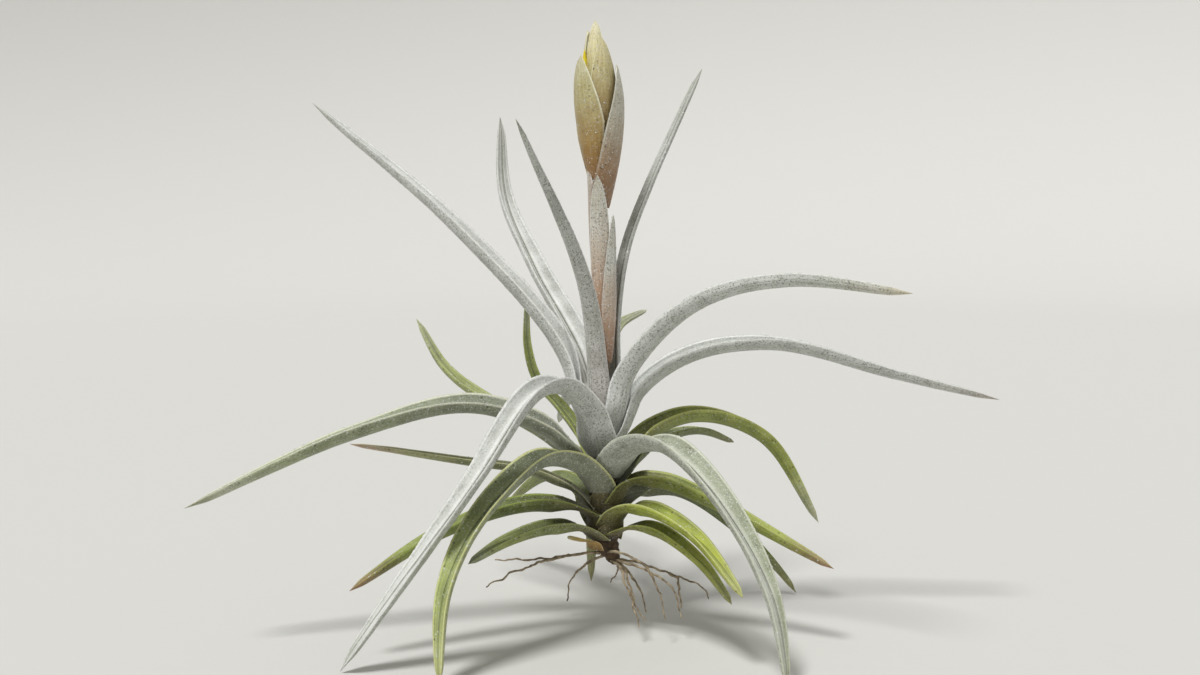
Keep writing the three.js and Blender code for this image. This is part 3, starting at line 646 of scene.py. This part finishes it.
    place = add(tree, MIX, {0: opening, 4: sheath, 5: blade}, data_type="VECTOR")[1]
    ripple = add(tree, NOISE, {"Vector": place, "Scale": 70.0, "Detail": 1.0})[1]
    ripple = add(tree, VECTOR_MATH, [ripple, (0.5, 0.5, 0.5)], **MINUS)[0]
    stray = add(tree, MATH, [given["Unevenness"], opening], **TIMES)[0]
    ripple = add(tree, VECTOR_MATH, {0: ripple, "Scale": stray}, **SCALED)[0]
    place = add(tree, VECTOR_MATH, [place, ripple], **PLUS)[0]

    # The skin keeps where it is on the blade, for its colours.
    skin = grid
    for name, value in (("along", along), ("across", across), ("inner", inner)):
        skin = add(
            tree,
            "GeometryNodeStoreNamedAttribute",
            {"Geometry": skin, "Name": name, "Value": value},
            data_type="FLOAT",
            domain="POINT",
        )[0]
    skin = add(tree, "GeometryNodeSetPosition", {"Geometry": skin, "Position": place})[0]
    skin = add(tree, "GeometryNodeMergeByDistance", {"Geometry": skin, "Distance": 2e-6})[0]
    skin = add(tree, "GeometryNodeSetShadeSmooth", [skin])[0]

    # Scales: small shields that lie on the skin, thickest along the margins.
    beside = add(tree, "GeometryNodeInputNamedAttribute", {"Name": "across"}, data_type="FLOAT")[0]
    beside = add(tree, MATH, [beside], operation="ABSOLUTE")[0]
    crowding = add(tree, RANGE, [beside, 0.9, 0.98, 1.0, 4.0])[0]
    spread = add(tree, MATH, [crowding, given["Scale Spread"]], **TIMES)[0]
    strewn = add(
        tree,
        "GeometryNodeDistributePointsOnFaces",
        {"Mesh": skin, "Density": spread, "Seed": given["Seed"]},
        distribute_method="RANDOM",
    )
    thin = add(tree, MATH, [given["Scale Radius"], 0.35], **TIMES)[0]
    shield = add(
        tree,
        "GeometryNodeMeshCone",
        {"Vertices": 6, "Radius Top": 0.0, "Radius Bottom": given["Scale Radius"], "Depth": thin},
    )["Mesh"]
    tilt = add(
        tree,
        "FunctionNodeRandomValue",
        {0: (-0.35, -0.35, 0.0), 1: (0.35, 0.35, 6.28), "Seed": given["Seed"]},
        data_type="FLOAT_VECTOR",
    )[0]
    tilt = add(tree, "FunctionNodeEulerToRotation", [tilt])[0]
    lie = add(tree, "FunctionNodeRotateRotation", [strewn["Rotation"], tilt], rotation_space="LOCAL")[0]
    size = add(tree, "FunctionNodeRandomValue", {2: 0.6, 3: 1.3, "Seed": given["Seed"]})[1]
    scales = add(
        tree,
        "GeometryNodeInstanceOnPoints",
        {"Points": strewn["Points"], "Instance": shield, "Rotation": lie, "Scale": size},
    )[0]

    skin = add(tree, "GeometryNodeSetMaterial", {"Geometry": skin, "Material": given["Skin"]})[0]
    scales = add(tree, "GeometryNodeSetMaterial", {"Geometry": scales, "Material": given["Scales"]})[0]
    both = tree.nodes.new("GeometryNodeJoinGeometry")
    tree.links.new(scales, both.inputs[0])
    tree.links.new(skin, both.inputs[0])
    whole = add(tree, "GeometryNodeRealizeInstances", [both.outputs[0]])[0]
    add(tree, "NodeGroupOutput", [whole])
    return tree


def root_tree():
    """Draws wiry roots out along their routes, thinner and wavier towards the tips."""
    tree, given = new_shape_tree(
        "wiry_root",
        {
            "Routes": "NodeSocketGeometry",
            "Radius": "NodeSocketFloat",
            "Waviness": "NodeSocketFloat",
            "Sides": "NodeSocketInt",
            "Skin": "NodeSocketMaterial",
        },
    )
    line = add(tree, "GeometryNodeMeshToCurve", [given["Routes"]])[0]
    gone = add(tree, "GeometryNodeSplineParameter")["Factor"]
    spot = add(tree, "GeometryNodeInputPosition")[0]
    bend = add(tree, NOISE, {"Vector": spot, "Scale": 330.0, "Detail": 1.0})[1]
    bend = add(tree, VECTOR_MATH, [bend, (0.5, 0.5, 0.5)], **MINUS)[0]
    free = add(tree, RANGE, [gone, 0.0, 0.5, 0.0, 2.0])[0]
    stray = add(tree, MATH, [free, given["Waviness"]], **TIMES)[0]
    bend = add(tree, VECTOR_MATH, {0: bend, "Scale": stray}, **SCALED)[0]
    line = add(tree, "GeometryNodeSetPosition", {"Geometry": line, "Offset": bend})[0]
    taper = add(tree, RANGE, [gone, 0.0, 1.0, 1.0, 0.4])[0]
    knots = add(tree, NOISE, {"Vector": spot, "Scale": 900.0, "Detail": 1.0})[0]
    knots = add(tree, RANGE, [knots, 0.3, 0.7, 0.75, 1.25])[0]
    thickness = add(tree, MATH, [taper, knots], **TIMES)[0]
    ring = add(
        tree,
        "GeometryNodeCurvePrimitiveCircle",
        {"Resolution": given["Sides"], "Radius": given["Radius"]},
    )[0]
    skin = add(
        tree,
        "GeometryNodeCurveToMesh",
        {"Curve": line, "Profile Curve": ring, "Scale": thickness, "Fill Caps": True},
    )[0]
    skin = add(tree, "GeometryNodeSetShadeSmooth", [skin])[0]
    skin = add(tree, "GeometryNodeRealizeInstances", [skin])[0]
    skin = add(tree, "GeometryNodeSetMaterial", {"Geometry": skin, "Material": given["Skin"]})[0]
    add(tree, "NodeGroupOutput", [skin])
    return tree


def grown(name, source, tree, sizes, place):
    """Runs a tree on a source mesh, and returns the plain object that it makes, in its place."""
    piece = bpy.data.objects.new(name, source)
    bpy.context.scene.collection.objects.link(piece)
    modifier = piece.modifiers.new("grow", "NODES")
    modifier.node_group = tree
    for item in tree.interface.items_tree:
        if item.in_out == "INPUT" and item.name in sizes:
            modifier[item.identifier] = sizes[item.name]
    depsgraph = bpy.context.evaluated_depsgraph_get()
    mesh = bpy.data.meshes.new_from_object(
        piece.evaluated_get(depsgraph), preserve_all_data_layers=True, depsgraph=depsgraph
    )
    if not mesh.polygons:
        raise RuntimeError(f"{name} came out empty")
    piece.modifiers.remove(modifier)
    piece.data = mesh
    mesh.transform(place)
    return piece


# Materials


def new_skin(name, roughness):
    """A named material with its shader set. Returns the material, its tree and its shader."""
    material = bpy.data.materials.new(name)
    material.use_nodes = True
    shader = material.node_tree.nodes["Principled BSDF"]
    shader.inputs["Roughness"].default_value = roughness
    shader.inputs["IOR"].default_value = PLANT_IOR
    return material, material.node_tree, shader


def leaf_skin(piece, scale_colour, bare_foot=0.0, fair_half=0.0):
    """Living leaf skin under a felt of silver scales, which a bract has only above its bare foot.

    The eye gets the green of the skin, darker in lengthwise veins, and over it the dull silver
    of dried scales, with dark specks where some are missing and pale beads along the margins.
    """
    material, tree, shader = new_skin(f"{piece.name}_scaly_leaf_skin", 0.62)
    shader.inputs["Sheen Weight"].default_value = 0.5 * piece.scaly[0]
    along, across, inner = (
        add(tree, "ShaderNodeAttribute", attribute_name=name)["Fac"]
        for name in ("along", "across", "inner")
    )
    spot = add(tree, "ShaderNodeTexCoord")["Object"]
    beside = add(tree, MATH, [across], operation="ABSOLUTE")[0]
    ramp = tree.nodes.new("ShaderNodeValToRGB")
    tree.links.new(along, ramp.inputs[0])
    stops = ramp.color_ramp.elements
    stops[0].position, stops[1].position = 0.05, 0.99
    stops.new(0.3)
    stops.new(0.76)
    for stop, colour in zip(stops, piece.skin):
        stop.color = linear(colour)

    # Veins run the length of the blade, about fifteen across it.
    strand = add(tree, "ShaderNodeCombineXYZ", [across, along, inner])[0]
    strand = add(tree, VECTOR_MATH, [strand, (7.5, 2.0, 3.0)], **TIMES)[0]
    veins = add(tree, NOISE, {"Vector": strand, "Scale": 1.0, "Detail": 2.0})[0]
    veins = add(tree, RANGE, [veins, 0.35, 0.65, 0.0, 1.0])[0]
    shade = linear("d8c8a4" if bare_foot else "979c6a")
    depth = add(tree, MATH, [veins, 0.45], **SHARE_OF)[0]
    green = add(tree, MIX, {0: depth, 6: ramp.outputs[0], 7: shade}, **DARKENED)[2]

    # The green is darker, and the felt thinner, in clouds about 6 mm across.
    drift = add(tree, NOISE, {"Vector": spot, "Scale": 160.0, "Detail": 4.0})[0]
    cloud = add(tree, RANGE, [drift, 0.35, 0.6, 0.5, 0.0])[0]
    green = add(tree, MIX, {0: cloud, 6: green, 7: shade}, **DARKENED)[2]
    felt = add(tree, RANGE, [inner, 0.0, 1.0, piece.scaly[0], piece.scaly[1]])[0]
    thinner = add(tree, RANGE, [drift, 0.3, 0.7, 0.7, 1.2])[0]
    felt = add(tree, MATH, [felt, thinner], **SHARE_OF)[0]
    clad = add(tree, RANGE, [along, 0.25, 0.7, 1.0 - bare_foot, 1.0])[0]
    felt = add(tree, MATH, [felt, clad], **SHARE_OF)[0]
    bare_tip = add(tree, RANGE, [along, 0.9, 1.0, 1.0, 0.4])[0]
    felt = add(tree, MATH, [felt, bare_tip], **SHARE_OF)[0]
    if fair_half:
        toward = add(tree, MATH, [across, fair_half], **TIMES)[0]
        fairer = add(tree, RANGE, [toward, -0.5, -0.1, 0.85, 1.7])[0]
        felt = add(tree, MATH, [felt, fairer], **SHARE_OF)[0]
    skin = add(tree, MIX, {0: felt, 6: green, 7: scale_colour}, **COLOURS)[2]
    depth = add(tree, MATH, [felt, 0.45], **SHARE_OF)[0]
    depth = add(tree, MATH, [veins, depth], **SHARE_OF)[0]
    skin = add(tree, MIX, {0: depth, 6: skin, 7: linear("a9aba0")}, **DARKENED)[2]

    # Specks 0.25 mm wide, dark where scales are missing, pale where they stand on end.
    cells = add(tree, "ShaderNodeTexVoronoi", {"Vector": spot, "Scale": 2300.0})
    dot = add(tree, RANGE, [cells["Distance"], 0.25, 0.55, 1.0, 0.0])[0]
    pick = add(tree, "ShaderNodeSeparateColor", [cells["Color"]])
    scaled = add(tree, RANGE, [felt, 0.0, 0.5, 0.3, 1.0])[0]
    pale = add(tree, RANGE, [pick[0], 0.6, 0.75, 0.0, 0.75])[0]
    pale = add(tree, MATH, [pale, dot], **SHARE_OF)[0]
    pale = add(tree, MATH, [pale, scaled], **SHARE_OF)[0]
    dark = add(tree, RANGE, [pick[1], 0.45, 0.6, 0.0, 1.0])[0]
    dark = add(tree, MATH, [dark, dot], **SHARE_OF)[0]
    dark = add(tree, MATH, [dark, scaled], **SHARE_OF)[0]
    fainter = add(tree, RANGE, [inner, 0.0, 1.0, 0.85, 0.4])[0]
    dark = add(tree, MATH, [dark, fainter], **SHARE_OF)[0]
    skin = add(tree, MIX, {0: pale, 6: skin, 7: scale_colour}, **COLOURS)[2]
    skin = add(tree, MIX, {0: dark, 6: skin, 7: linear("8c8f82")}, **DARKENED)[2]

    # Brown freckles gather near the margins of the greener leaves.
    freckles = add(tree, "ShaderNodeTexVoronoi", {"Vector": spot, "Scale": 900.0})
    brown = add(tree, "ShaderNodeSeparateColor", [freckles["Color"]])[0]
    brown = add(tree, RANGE, [brown, 0.72, 0.76, 0.0, 0.85])[0]
    fade = add(tree, RANGE, [freckles["Distance"], 0.2, 0.38, 1.0, 0.0])[0]
    brown = add(tree, MATH, [brown, fade], **SHARE_OF)[0]
    fade = add(tree, RANGE, [beside, 0.45, 0.85, 0.1, 1.0])[0]
    brown = add(tree, MATH, [brown, fade], **SHARE_OF)[0]
    fade = add(tree, RANGE, [felt, 0.1, 0.5, 1.0, 0.3])[0]
    brown = add(tree, MATH, [brown, fade], **SHARE_OF)[0]
    skin = add(tree, MIX, {0: brown, 6: skin, 7: linear("4d4628")}, **COLOURS)[2]

    # The inner face gets painted shade along a groove on each side of its middle, and a painted
    # highlight along a band beyond each.
    painted_band_highlight = add(tree, RANGE, [beside, 0.16, 0.26, 0.0, 1.0])[0]
    fade = add(tree, RANGE, [beside, 0.3, 0.6, 1.0, 0.0])[0]
    painted_band_highlight = add(tree, MATH, [painted_band_highlight, fade], **SHARE_OF)[0]
    fade = add(tree, MATH, [felt, 0.7], **SHARE_OF)[0]
    fade = add(tree, MATH, [inner, fade], **SHARE_OF)[0]
    painted_band_highlight = add(tree, MATH, [painted_band_highlight, fade], **SHARE_OF)[0]
    skin = add(tree, MIX, {0: painted_band_highlight, 6: skin, 7: linear(piece.edge)}, **COLOURS)[2]
    # Painted shade darkens the middle of the channel, where the groove lies.
    painted_groove_shade = add(tree, RANGE, [beside, 0.03, 0.08, 0.0, 0.9])[0]
    fade = add(tree, RANGE, [beside, 0.1, 0.18, 1.0, 0.0])[0]
    painted_groove_shade = add(tree, MATH, [painted_groove_shade, fade], **SHARE_OF)[0]
    painted_groove_shade = add(tree, MATH, [painted_groove_shade, inner], **SHARE_OF)[0]
    skin = add(tree, MIX, {0: painted_groove_shade, 6: skin, 7: linear("84866f")}, **DARKENED)[2]

    # Pale beads line the margins, but not round the bare foot of a bract.
    margin = add(tree, RANGE, [beside, 0.9, 0.96, 0.0, 1.0])[0]
    beads = add(tree, RANGE, [cells["Distance"], 0.1, 0.6, 1.0, 0.6])[0]
    beads = add(tree, MATH, [beads, clad], **SHARE_OF)[0]
    margin = add(tree, MATH, [margin, beads], **SHARE_OF)[0]
    skin = add(tree, MIX, {0: margin, 6: skin, 7: linear(piece.edge)}, **COLOURS)[2]
    tree.links.new(skin, shader.inputs["Base Color"])

    height = add(tree, MATH, [veins, -0.5], **TIMES)[0]
    height = add(tree, MATH, [height, dark], **MINUS)[0]
    height = add(tree, MATH, [height, pale], **PLUS)[0]
    bump = add(tree, "ShaderNodeBump", {"Strength": 0.7, "Distance": 0.00015, "Height": height})[0]
    tree.links.new(bump, shader.inputs["Normal"])
    return material


def scale_skin(colour):
    """Dried trichome shields: dull, silver white, and a little darker here and there."""
    material, tree, shader = new_skin("trichome_scales", 0.6)
    spot = add(tree, "ShaderNodeTexCoord")["Object"]
    mottle = add(tree, NOISE, {"Vector": spot, "Scale": 1400.0})[0]
    dark = [channel * 0.72 for channel in colour[:3]]
    tint = add(tree, MIX, {0: mottle, 6: colour, 7: (*dark, 1)}, **COLOURS)[2]
    tree.links.new(tint, shader.inputs["Base Color"])
    return material


def mottled_skin(name, colour, dark_hex, roughness, grain, relief):
    """Plant tissue with a mottle of the given grain in metres: bark, root, stalk or petal."""
    material, tree, shader = new_skin(name, roughness)
    spot = add(tree, "ShaderNodeTexCoord")["Object"]
    mottle = add(tree, NOISE, {"Vector": spot, "Scale": 1 / grain, "Detail": 4.0})[0]
    share = add(tree, RANGE, [mottle, 0.35, 0.65, 0.0, 1.0])[0]
    tint = add(tree, MIX, {0: share, 6: colour, 7: linear(dark_hex)}, **COLOURS)[2]
    tree.links.new(tint, shader.inputs["Base Color"])
    bump = add(tree, "ShaderNodeBump", {"Strength": 0.6, "Distance": relief, "Height": mottle})[0]
    tree.links.new(bump, shader.inputs["Normal"])
    return material


# Pieces


def keep(piece, node):
    """Hangs a finished piece on the plant's root body, and hides the solid of the node that it
    replaces.
    """
    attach(piece, ROOT_BODY)
    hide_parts(node)


def ring_faces(rows, columns):
    """Faces between rings of points, which are numbered round each ring, one ring after another."""
    return [
        (
            row * columns + column,
            row * columns + (column + 1) % columns,
            (row + 1) * columns + (column + 1) % columns,
            (row + 1) * columns + column,
        )
        for row in range(rows - 1)
        for column in range(columns)
    ]


def tube(name, heights, radii, columns, ripple, material, place):
    """A closed upright tube, in millimetres, with the ripple added at each angle and height."""
    points = []
    for height, radius in zip(heights, radii):
        for column in range(columns):
            angle = 2 * math.pi * column / columns
            reach = radius + ripple(angle, height)
            points.append((reach * math.cos(angle), reach * math.sin(angle), height))
    faces = ring_faces(len(heights), columns)
    foot, head = len(points), len(points) + 1
    points += [(0, 0, heights[0]), (0, 0, heights[-1])]
    top = (len(heights) - 1) * columns
    for column in range(columns):
        after = (column + 1) % columns
        faces.append((after, column, foot))
        faces.append((top + column, top + after, head))
    mesh = bpy.data.meshes.new(name)
    mesh.from_pydata([Vector(point) * MM for point in points], [], faces)
    mesh.polygons.foreach_set("use_smooth", [True] * len(faces))
    mesh.materials.append(material)
    mesh.transform(place)
    piece = bpy.data.objects.new(name, mesh)
    bpy.context.scene.collection.objects.link(piece)
    return piece


def blade_inputs(settings, skin, scales, density):
    """What the blade tree is given, with the scales' density as a share of a silver face's."""
    sizes = settings.leaves
    return {
        "Stations": sizes.stations,
        "Columns": sizes.columns + 1,
        "Margin": sizes.margin,
        "Crest": sizes.crest,
        "Unevenness": sizes.unevenness,
        "Scale Radius": settings.scales.radius,
        "Scale Spread": settings.scales.spread * density,
        "Seed": settings.scales.seed,
        "Skin": skin,
        "Scales": scales,
    }


class AIRPLANT_OT_leaves(bpy.types.Operator):
    """Grow the leaves, each on its own rail."""

    bl_idname = "airplant.leaves"
    bl_label = "Leaves"

    def execute(self, context):
        settings = context.scene.air_plant
        tree = blade_tree()
        scale_colour = tuple(settings.colours.scales)
        scales = scale_skin(scale_colour)
        for order, leaf in enumerate(LEAVES):
            skin = leaf_skin(leaf, scale_colour, fair_half=leaf.fair_half)
            rail = leaf_rail(leaf, order, settings.leaves)
            sizes = blade_inputs(settings, skin, scales, leaf.scaly[0])
            piece = grown(f"{leaf.name}_blade", rail, tree, sizes, TO_AXIS)
            if order == 0:
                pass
            elif order >= FIRST_SILVER:
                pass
            else:
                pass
            keep(piece, leaf.name)
        return {"FINISHED"}


class AIRPLANT_OT_bracts(bpy.types.Operator):
    """Wrap the bracts round the stalk and the spike."""

    bl_idname = "airplant.bracts"
    bl_label = "Bracts"

    def execute(self, context):
        settings = context.scene.air_plant
        tree = blade_tree()
        scale_colour = tuple(settings.colours.scales)
        scales = scale_skin(scale_colour)
        for bract in BRACTS:
            skin = leaf_skin(bract, scale_colour, bare_foot=0.8)
            sizes = blade_inputs(settings, skin, scales, bract.scaly[0])
            sizes["Stations"] = BRACT_STATIONS
            piece = grown(f"{bract.name}_blade", bract_rail(bract, stalk_radius), tree, sizes, LEANED)
            keep(piece, bract.name)
        return {"FINISHED"}


class AIRPLANT_OT_stem(bpy.types.Operator):
    """Turn the woody stem, ringed by the scars of shed leaves, and draw out its wiry roots."""

    bl_idname = "airplant.stem"
    bl_label = "Stem and roots"

    def execute(self, context):
        settings = context.scene.air_plant
        colours = settings.colours
        # Weathered bark is dull and rough, in brown patches a millimetre wide. Its brown is kept dark,
        # partly as painted shade in the gaps between the leaf bases.
        bark = mottled_skin("dark_bark_with_painted_shade", tuple(colours.bark), "3b3124", 0.85, 0.0012, 0.0004)
        heights = np.linspace(STEM_HEIGHTS[0], STEM_HEIGHTS[-1], 96)
        radii = [stem_radius(h) for h in heights]

        def scars(angle, height):
            ring = 0.18 * math.sin(2 * math.pi * height / SCAR_SPACING + angle)
            rough = noise.noise(Vector((2 * math.cos(angle), 2 * math.sin(angle), height / 2)))
            return -0.2 + ring + 0.25 * rough

        stem = tube("stem_bark", heights, radii, STEM_COLUMNS, scars, bark, TO_AXIS)
        for vertex in stem.data.vertices:
            low = 1 - smoothstep(vertex.co.z / MM, STEM_HEIGHTS[0], 27)
            vertex.co.x += STEM_BEND * low * MM
        keep(stem, "stem")

        for sheath in OLD_SHEATHS:
            skin = leaf_skin(sheath, tuple(colours.scales))
            sizes = blade_inputs(settings, skin, skin, sheath.scaly[0])
            sizes["Stations"] = OLD_SHEATH_STATIONS
            rail = bract_rail(sheath, stem_radius)
            keep(grown(sheath.name, rail, blade_tree(), sizes, TO_AXIS), "stem")

        # Root bark is dry and straw brown, with darker stretches.
        roots = mottled_skin("wiry_root_bark", tuple(colours.roots), "6a5c48", 0.8, 0.0015, 0.0002)
        points, chain = [], []
        for route in ROOTS:
            line, _ = smooth_line(route, ROOT_RAIL_POINTS)
            chain += [(len(points) + i, len(points) + i + 1) for i in range(len(line) - 1)]
            points += [Vector(point) * MM for point in line]
        routes = bpy.data.meshes.new("root_routes")
        routes.from_pydata(points, chain, [])
        sizes = {
            "Radius": settings.roots.radius,
            "Waviness": settings.roots.waviness,
            "Sides": ROOT_SIDES,
            "Skin": roots,
        }
        keep(grown("wiry_roots", routes, root_tree(), sizes, TO_AXIS), "stem")
        return {"FINISHED"}


class AIRPLANT_OT_stalk(bpy.types.Operator):
    """Turn the flower stalk, which runs on as the axis of the spike."""

    bl_idname = "airplant.stalk"
    bl_label = "Stalk"

    def execute(self, context):
        colours = context.scene.air_plant.colours
        # A stalk's skin is smooth and tan, a little shiny, with soft clouds.
        skin = mottled_skin("smooth_stalk_skin", tuple(colours.stalk), "8a6a4c", 0.5, 0.004, 0.0001)
        heights = np.linspace(STALK_FOOT, STALK_HEAD, 80)
        radii = [float(stalk_radius(h)) for h in heights]

        def smooth(angle, height):
            return 0

        shaft = tube("stalk_shaft", heights, radii, STALK_COLUMNS, smooth, skin, LEANED)
        keep(shaft, "stalk")
        return {"FINISHED"}


class AIRPLANT_OT_flowers(bpy.types.Operator):
    """Roll the petals of the flower that is about to open, and the closed flowers beside it."""

    bl_idname = "airplant.flowers"
    bl_label = "Flowers"

    def execute(self, context):
        colours = context.scene.air_plant.colours
        # Petals and the sepals round them are waxy: a soft shine over an even, clear colour.
        petal = mottled_skin("rolled_petal", tuple(colours.petals), "e2c92a", 0.45, 0.003, 0.0001)
        sepal = mottled_skin("waxy_sepal", tuple(colours.sepals), "a9a868", 0.45, 0.003, 0.0001)
        shares = np.linspace(0, 1, 60)
        for name, azimuth, reach, foot, tip, radius in FLOWERS:
            heights = blend(foot, tip, shares)
            radii = radius * (0.5 + 0.5 * smoothstep(shares, 0, 0.4))
            radii = radii * np.clip((1 - shares) / 0.3, 0, 1) ** 0.6

            def rolled(angle, height):
                return 0.07 * min(1, (tip - height) / 3) * math.cos(3 * angle + height / 2)

            place = LEANED @ Matrix.Translation(Vector(polar(azimuth, reach, 0)) * MM)
            skin = petal if name == "rolled_petals" else sepal
            flower = tube(name, heights, radii, FLOWER_COLUMNS, rolled, skin, place)
            keep(flower, "petals")
        return {"FINISHED"}


class AIRPLANT_OT_stage(bpy.types.Operator):
    """Lay a pale floor that rises into a cove, and set soft lamps and the camera."""

    bl_idname = "airplant.stage"
    bl_label = "Stage"

    def execute(self, context):
        scene = context.scene
        # Matt paper is dull and even, so that nothing but the plant draws the eye.
        matt, _, shader = new_skin("matt_paper", 0.9)
        shader.inputs["Base Color"].default_value = tuple(scene.air_plant.colours.floor)
        rings = [(0, 0), (FLOOR_RADIUS, 0)]
        for slope in np.linspace(0.1, math.pi / 2, 16):
            rings.append(
                (FLOOR_RADIUS + COVE_RADIUS * math.sin(slope), COVE_RADIUS * (1 - math.cos(slope)))
            )
        angles = [2 * math.pi * column / FLOOR_COLUMNS for column in range(FLOOR_COLUMNS)]
        points = [(r * math.cos(a), r * math.sin(a), z) for r, z in rings for a in angles]
        faces = ring_faces(len(rings), FLOOR_COLUMNS)
        mesh = bpy.data.meshes.new("studio_floor")
        mesh.from_pydata(points, [], faces)
        mesh.flip_normals()
        mesh.polygons.foreach_set("use_smooth", [True] * len(faces))
        mesh.materials.append(matt)
        floor = bpy.data.objects.new("studio_floor", mesh)
        scene.collection.objects.link(floor)

        world = bpy.data.worlds.new("studio_air")
        world.use_nodes = True
        world.node_tree.nodes["Background"].inputs["Color"].default_value = linear("f2f2ef")
        world.node_tree.nodes["Background"].inputs["Strength"].default_value = 0.45
        scene.world = world

        # Wide suns light the floor and the cove alike, however far they lie from the plant.
        for name, aim, width, strength in (
            ("key_lamp", (0.4, 0.6, -1.25), 12, 2.65),
            ("back_lamp", (-0.6, -0.8, -0.7), 40, 0.35),
        ):
            light = bpy.data.lights.new(name, "SUN")
            light.angle = math.radians(width)
            light.energy = strength
            lamp = bpy.data.objects.new(name, light)
            lamp.rotation_euler = Vector(aim).to_track_quat("-Z", "Y").to_euler()
            scene.collection.objects.link(lamp)

        camera = bpy.data.objects.new("camera", bpy.data.cameras.new("camera"))
        camera.data.sensor_width = SENSOR_WIDTH
        camera.data.lens = SENSOR_WIDTH * FOCAL_LENGTH / IMAGE_WIDTH
        camera.data.clip_start = 0.01
        camera.location = PLANT_AXIS + Vector(CAMERA_STAND)
        camera.rotation_euler = (CAMERA_TILT, 0, 0)
        scene.collection.objects.link(camera)
        scene.camera = camera
        scene.view_settings.view_transform = "Standard"
        return {"FINISHED"}


class AIRPLANT_PT_pieces(bpy.types.Panel):
    """Lists the plant's pieces and settings."""

    bl_idname = "AIRPLANT_PT_pieces"
    bl_label = "Air plant"
    bl_space_type = "VIEW_3D"
    bl_region_type = "UI"
    bl_category = "Air plant"

    def draw(self, context):
        settings = context.scene.air_plant
        for operator in OPERATORS:
            self.layout.operator(operator.bl_idname)
        for group in (settings.leaves, settings.scales, settings.roots, settings.colours):
            box = self.layout.box()
            for name in group.bl_rna.properties.keys():
                if name not in ("rna_type", "name"):
                    box.prop(group, name)


SETTINGS = (LeafSizes, ScaleSizes, RootSizes, PlantColours, PlantSettings)
OPERATORS = (
    AIRPLANT_OT_leaves,
    AIRPLANT_OT_bracts,
    AIRPLANT_OT_stem,
    AIRPLANT_OT_stalk,
    AIRPLANT_OT_flowers,
    AIRPLANT_OT_stage,
)


def register():
    for kind in (*SETTINGS, *OPERATORS, AIRPLANT_PT_pieces):
        bpy.utils.register_class(kind)
    bpy.types.Scene.air_plant = bpy.props.PointerProperty(type=PlantSettings)


def unregister():
    del bpy.types.Scene.air_plant
    for kind in reversed((*SETTINGS, *OPERATORS, AIRPLANT_PT_pieces)):
        bpy.utils.unregister_class(kind)


def main():
    register()
    bpy.ops.airplant.leaves()
    bpy.ops.airplant.bracts()
    bpy.ops.airplant.stem()
    bpy.ops.airplant.stalk()
    bpy.ops.airplant.flowers()
    bpy.ops.airplant.stage()


if __name__ == "__main__":
    main()
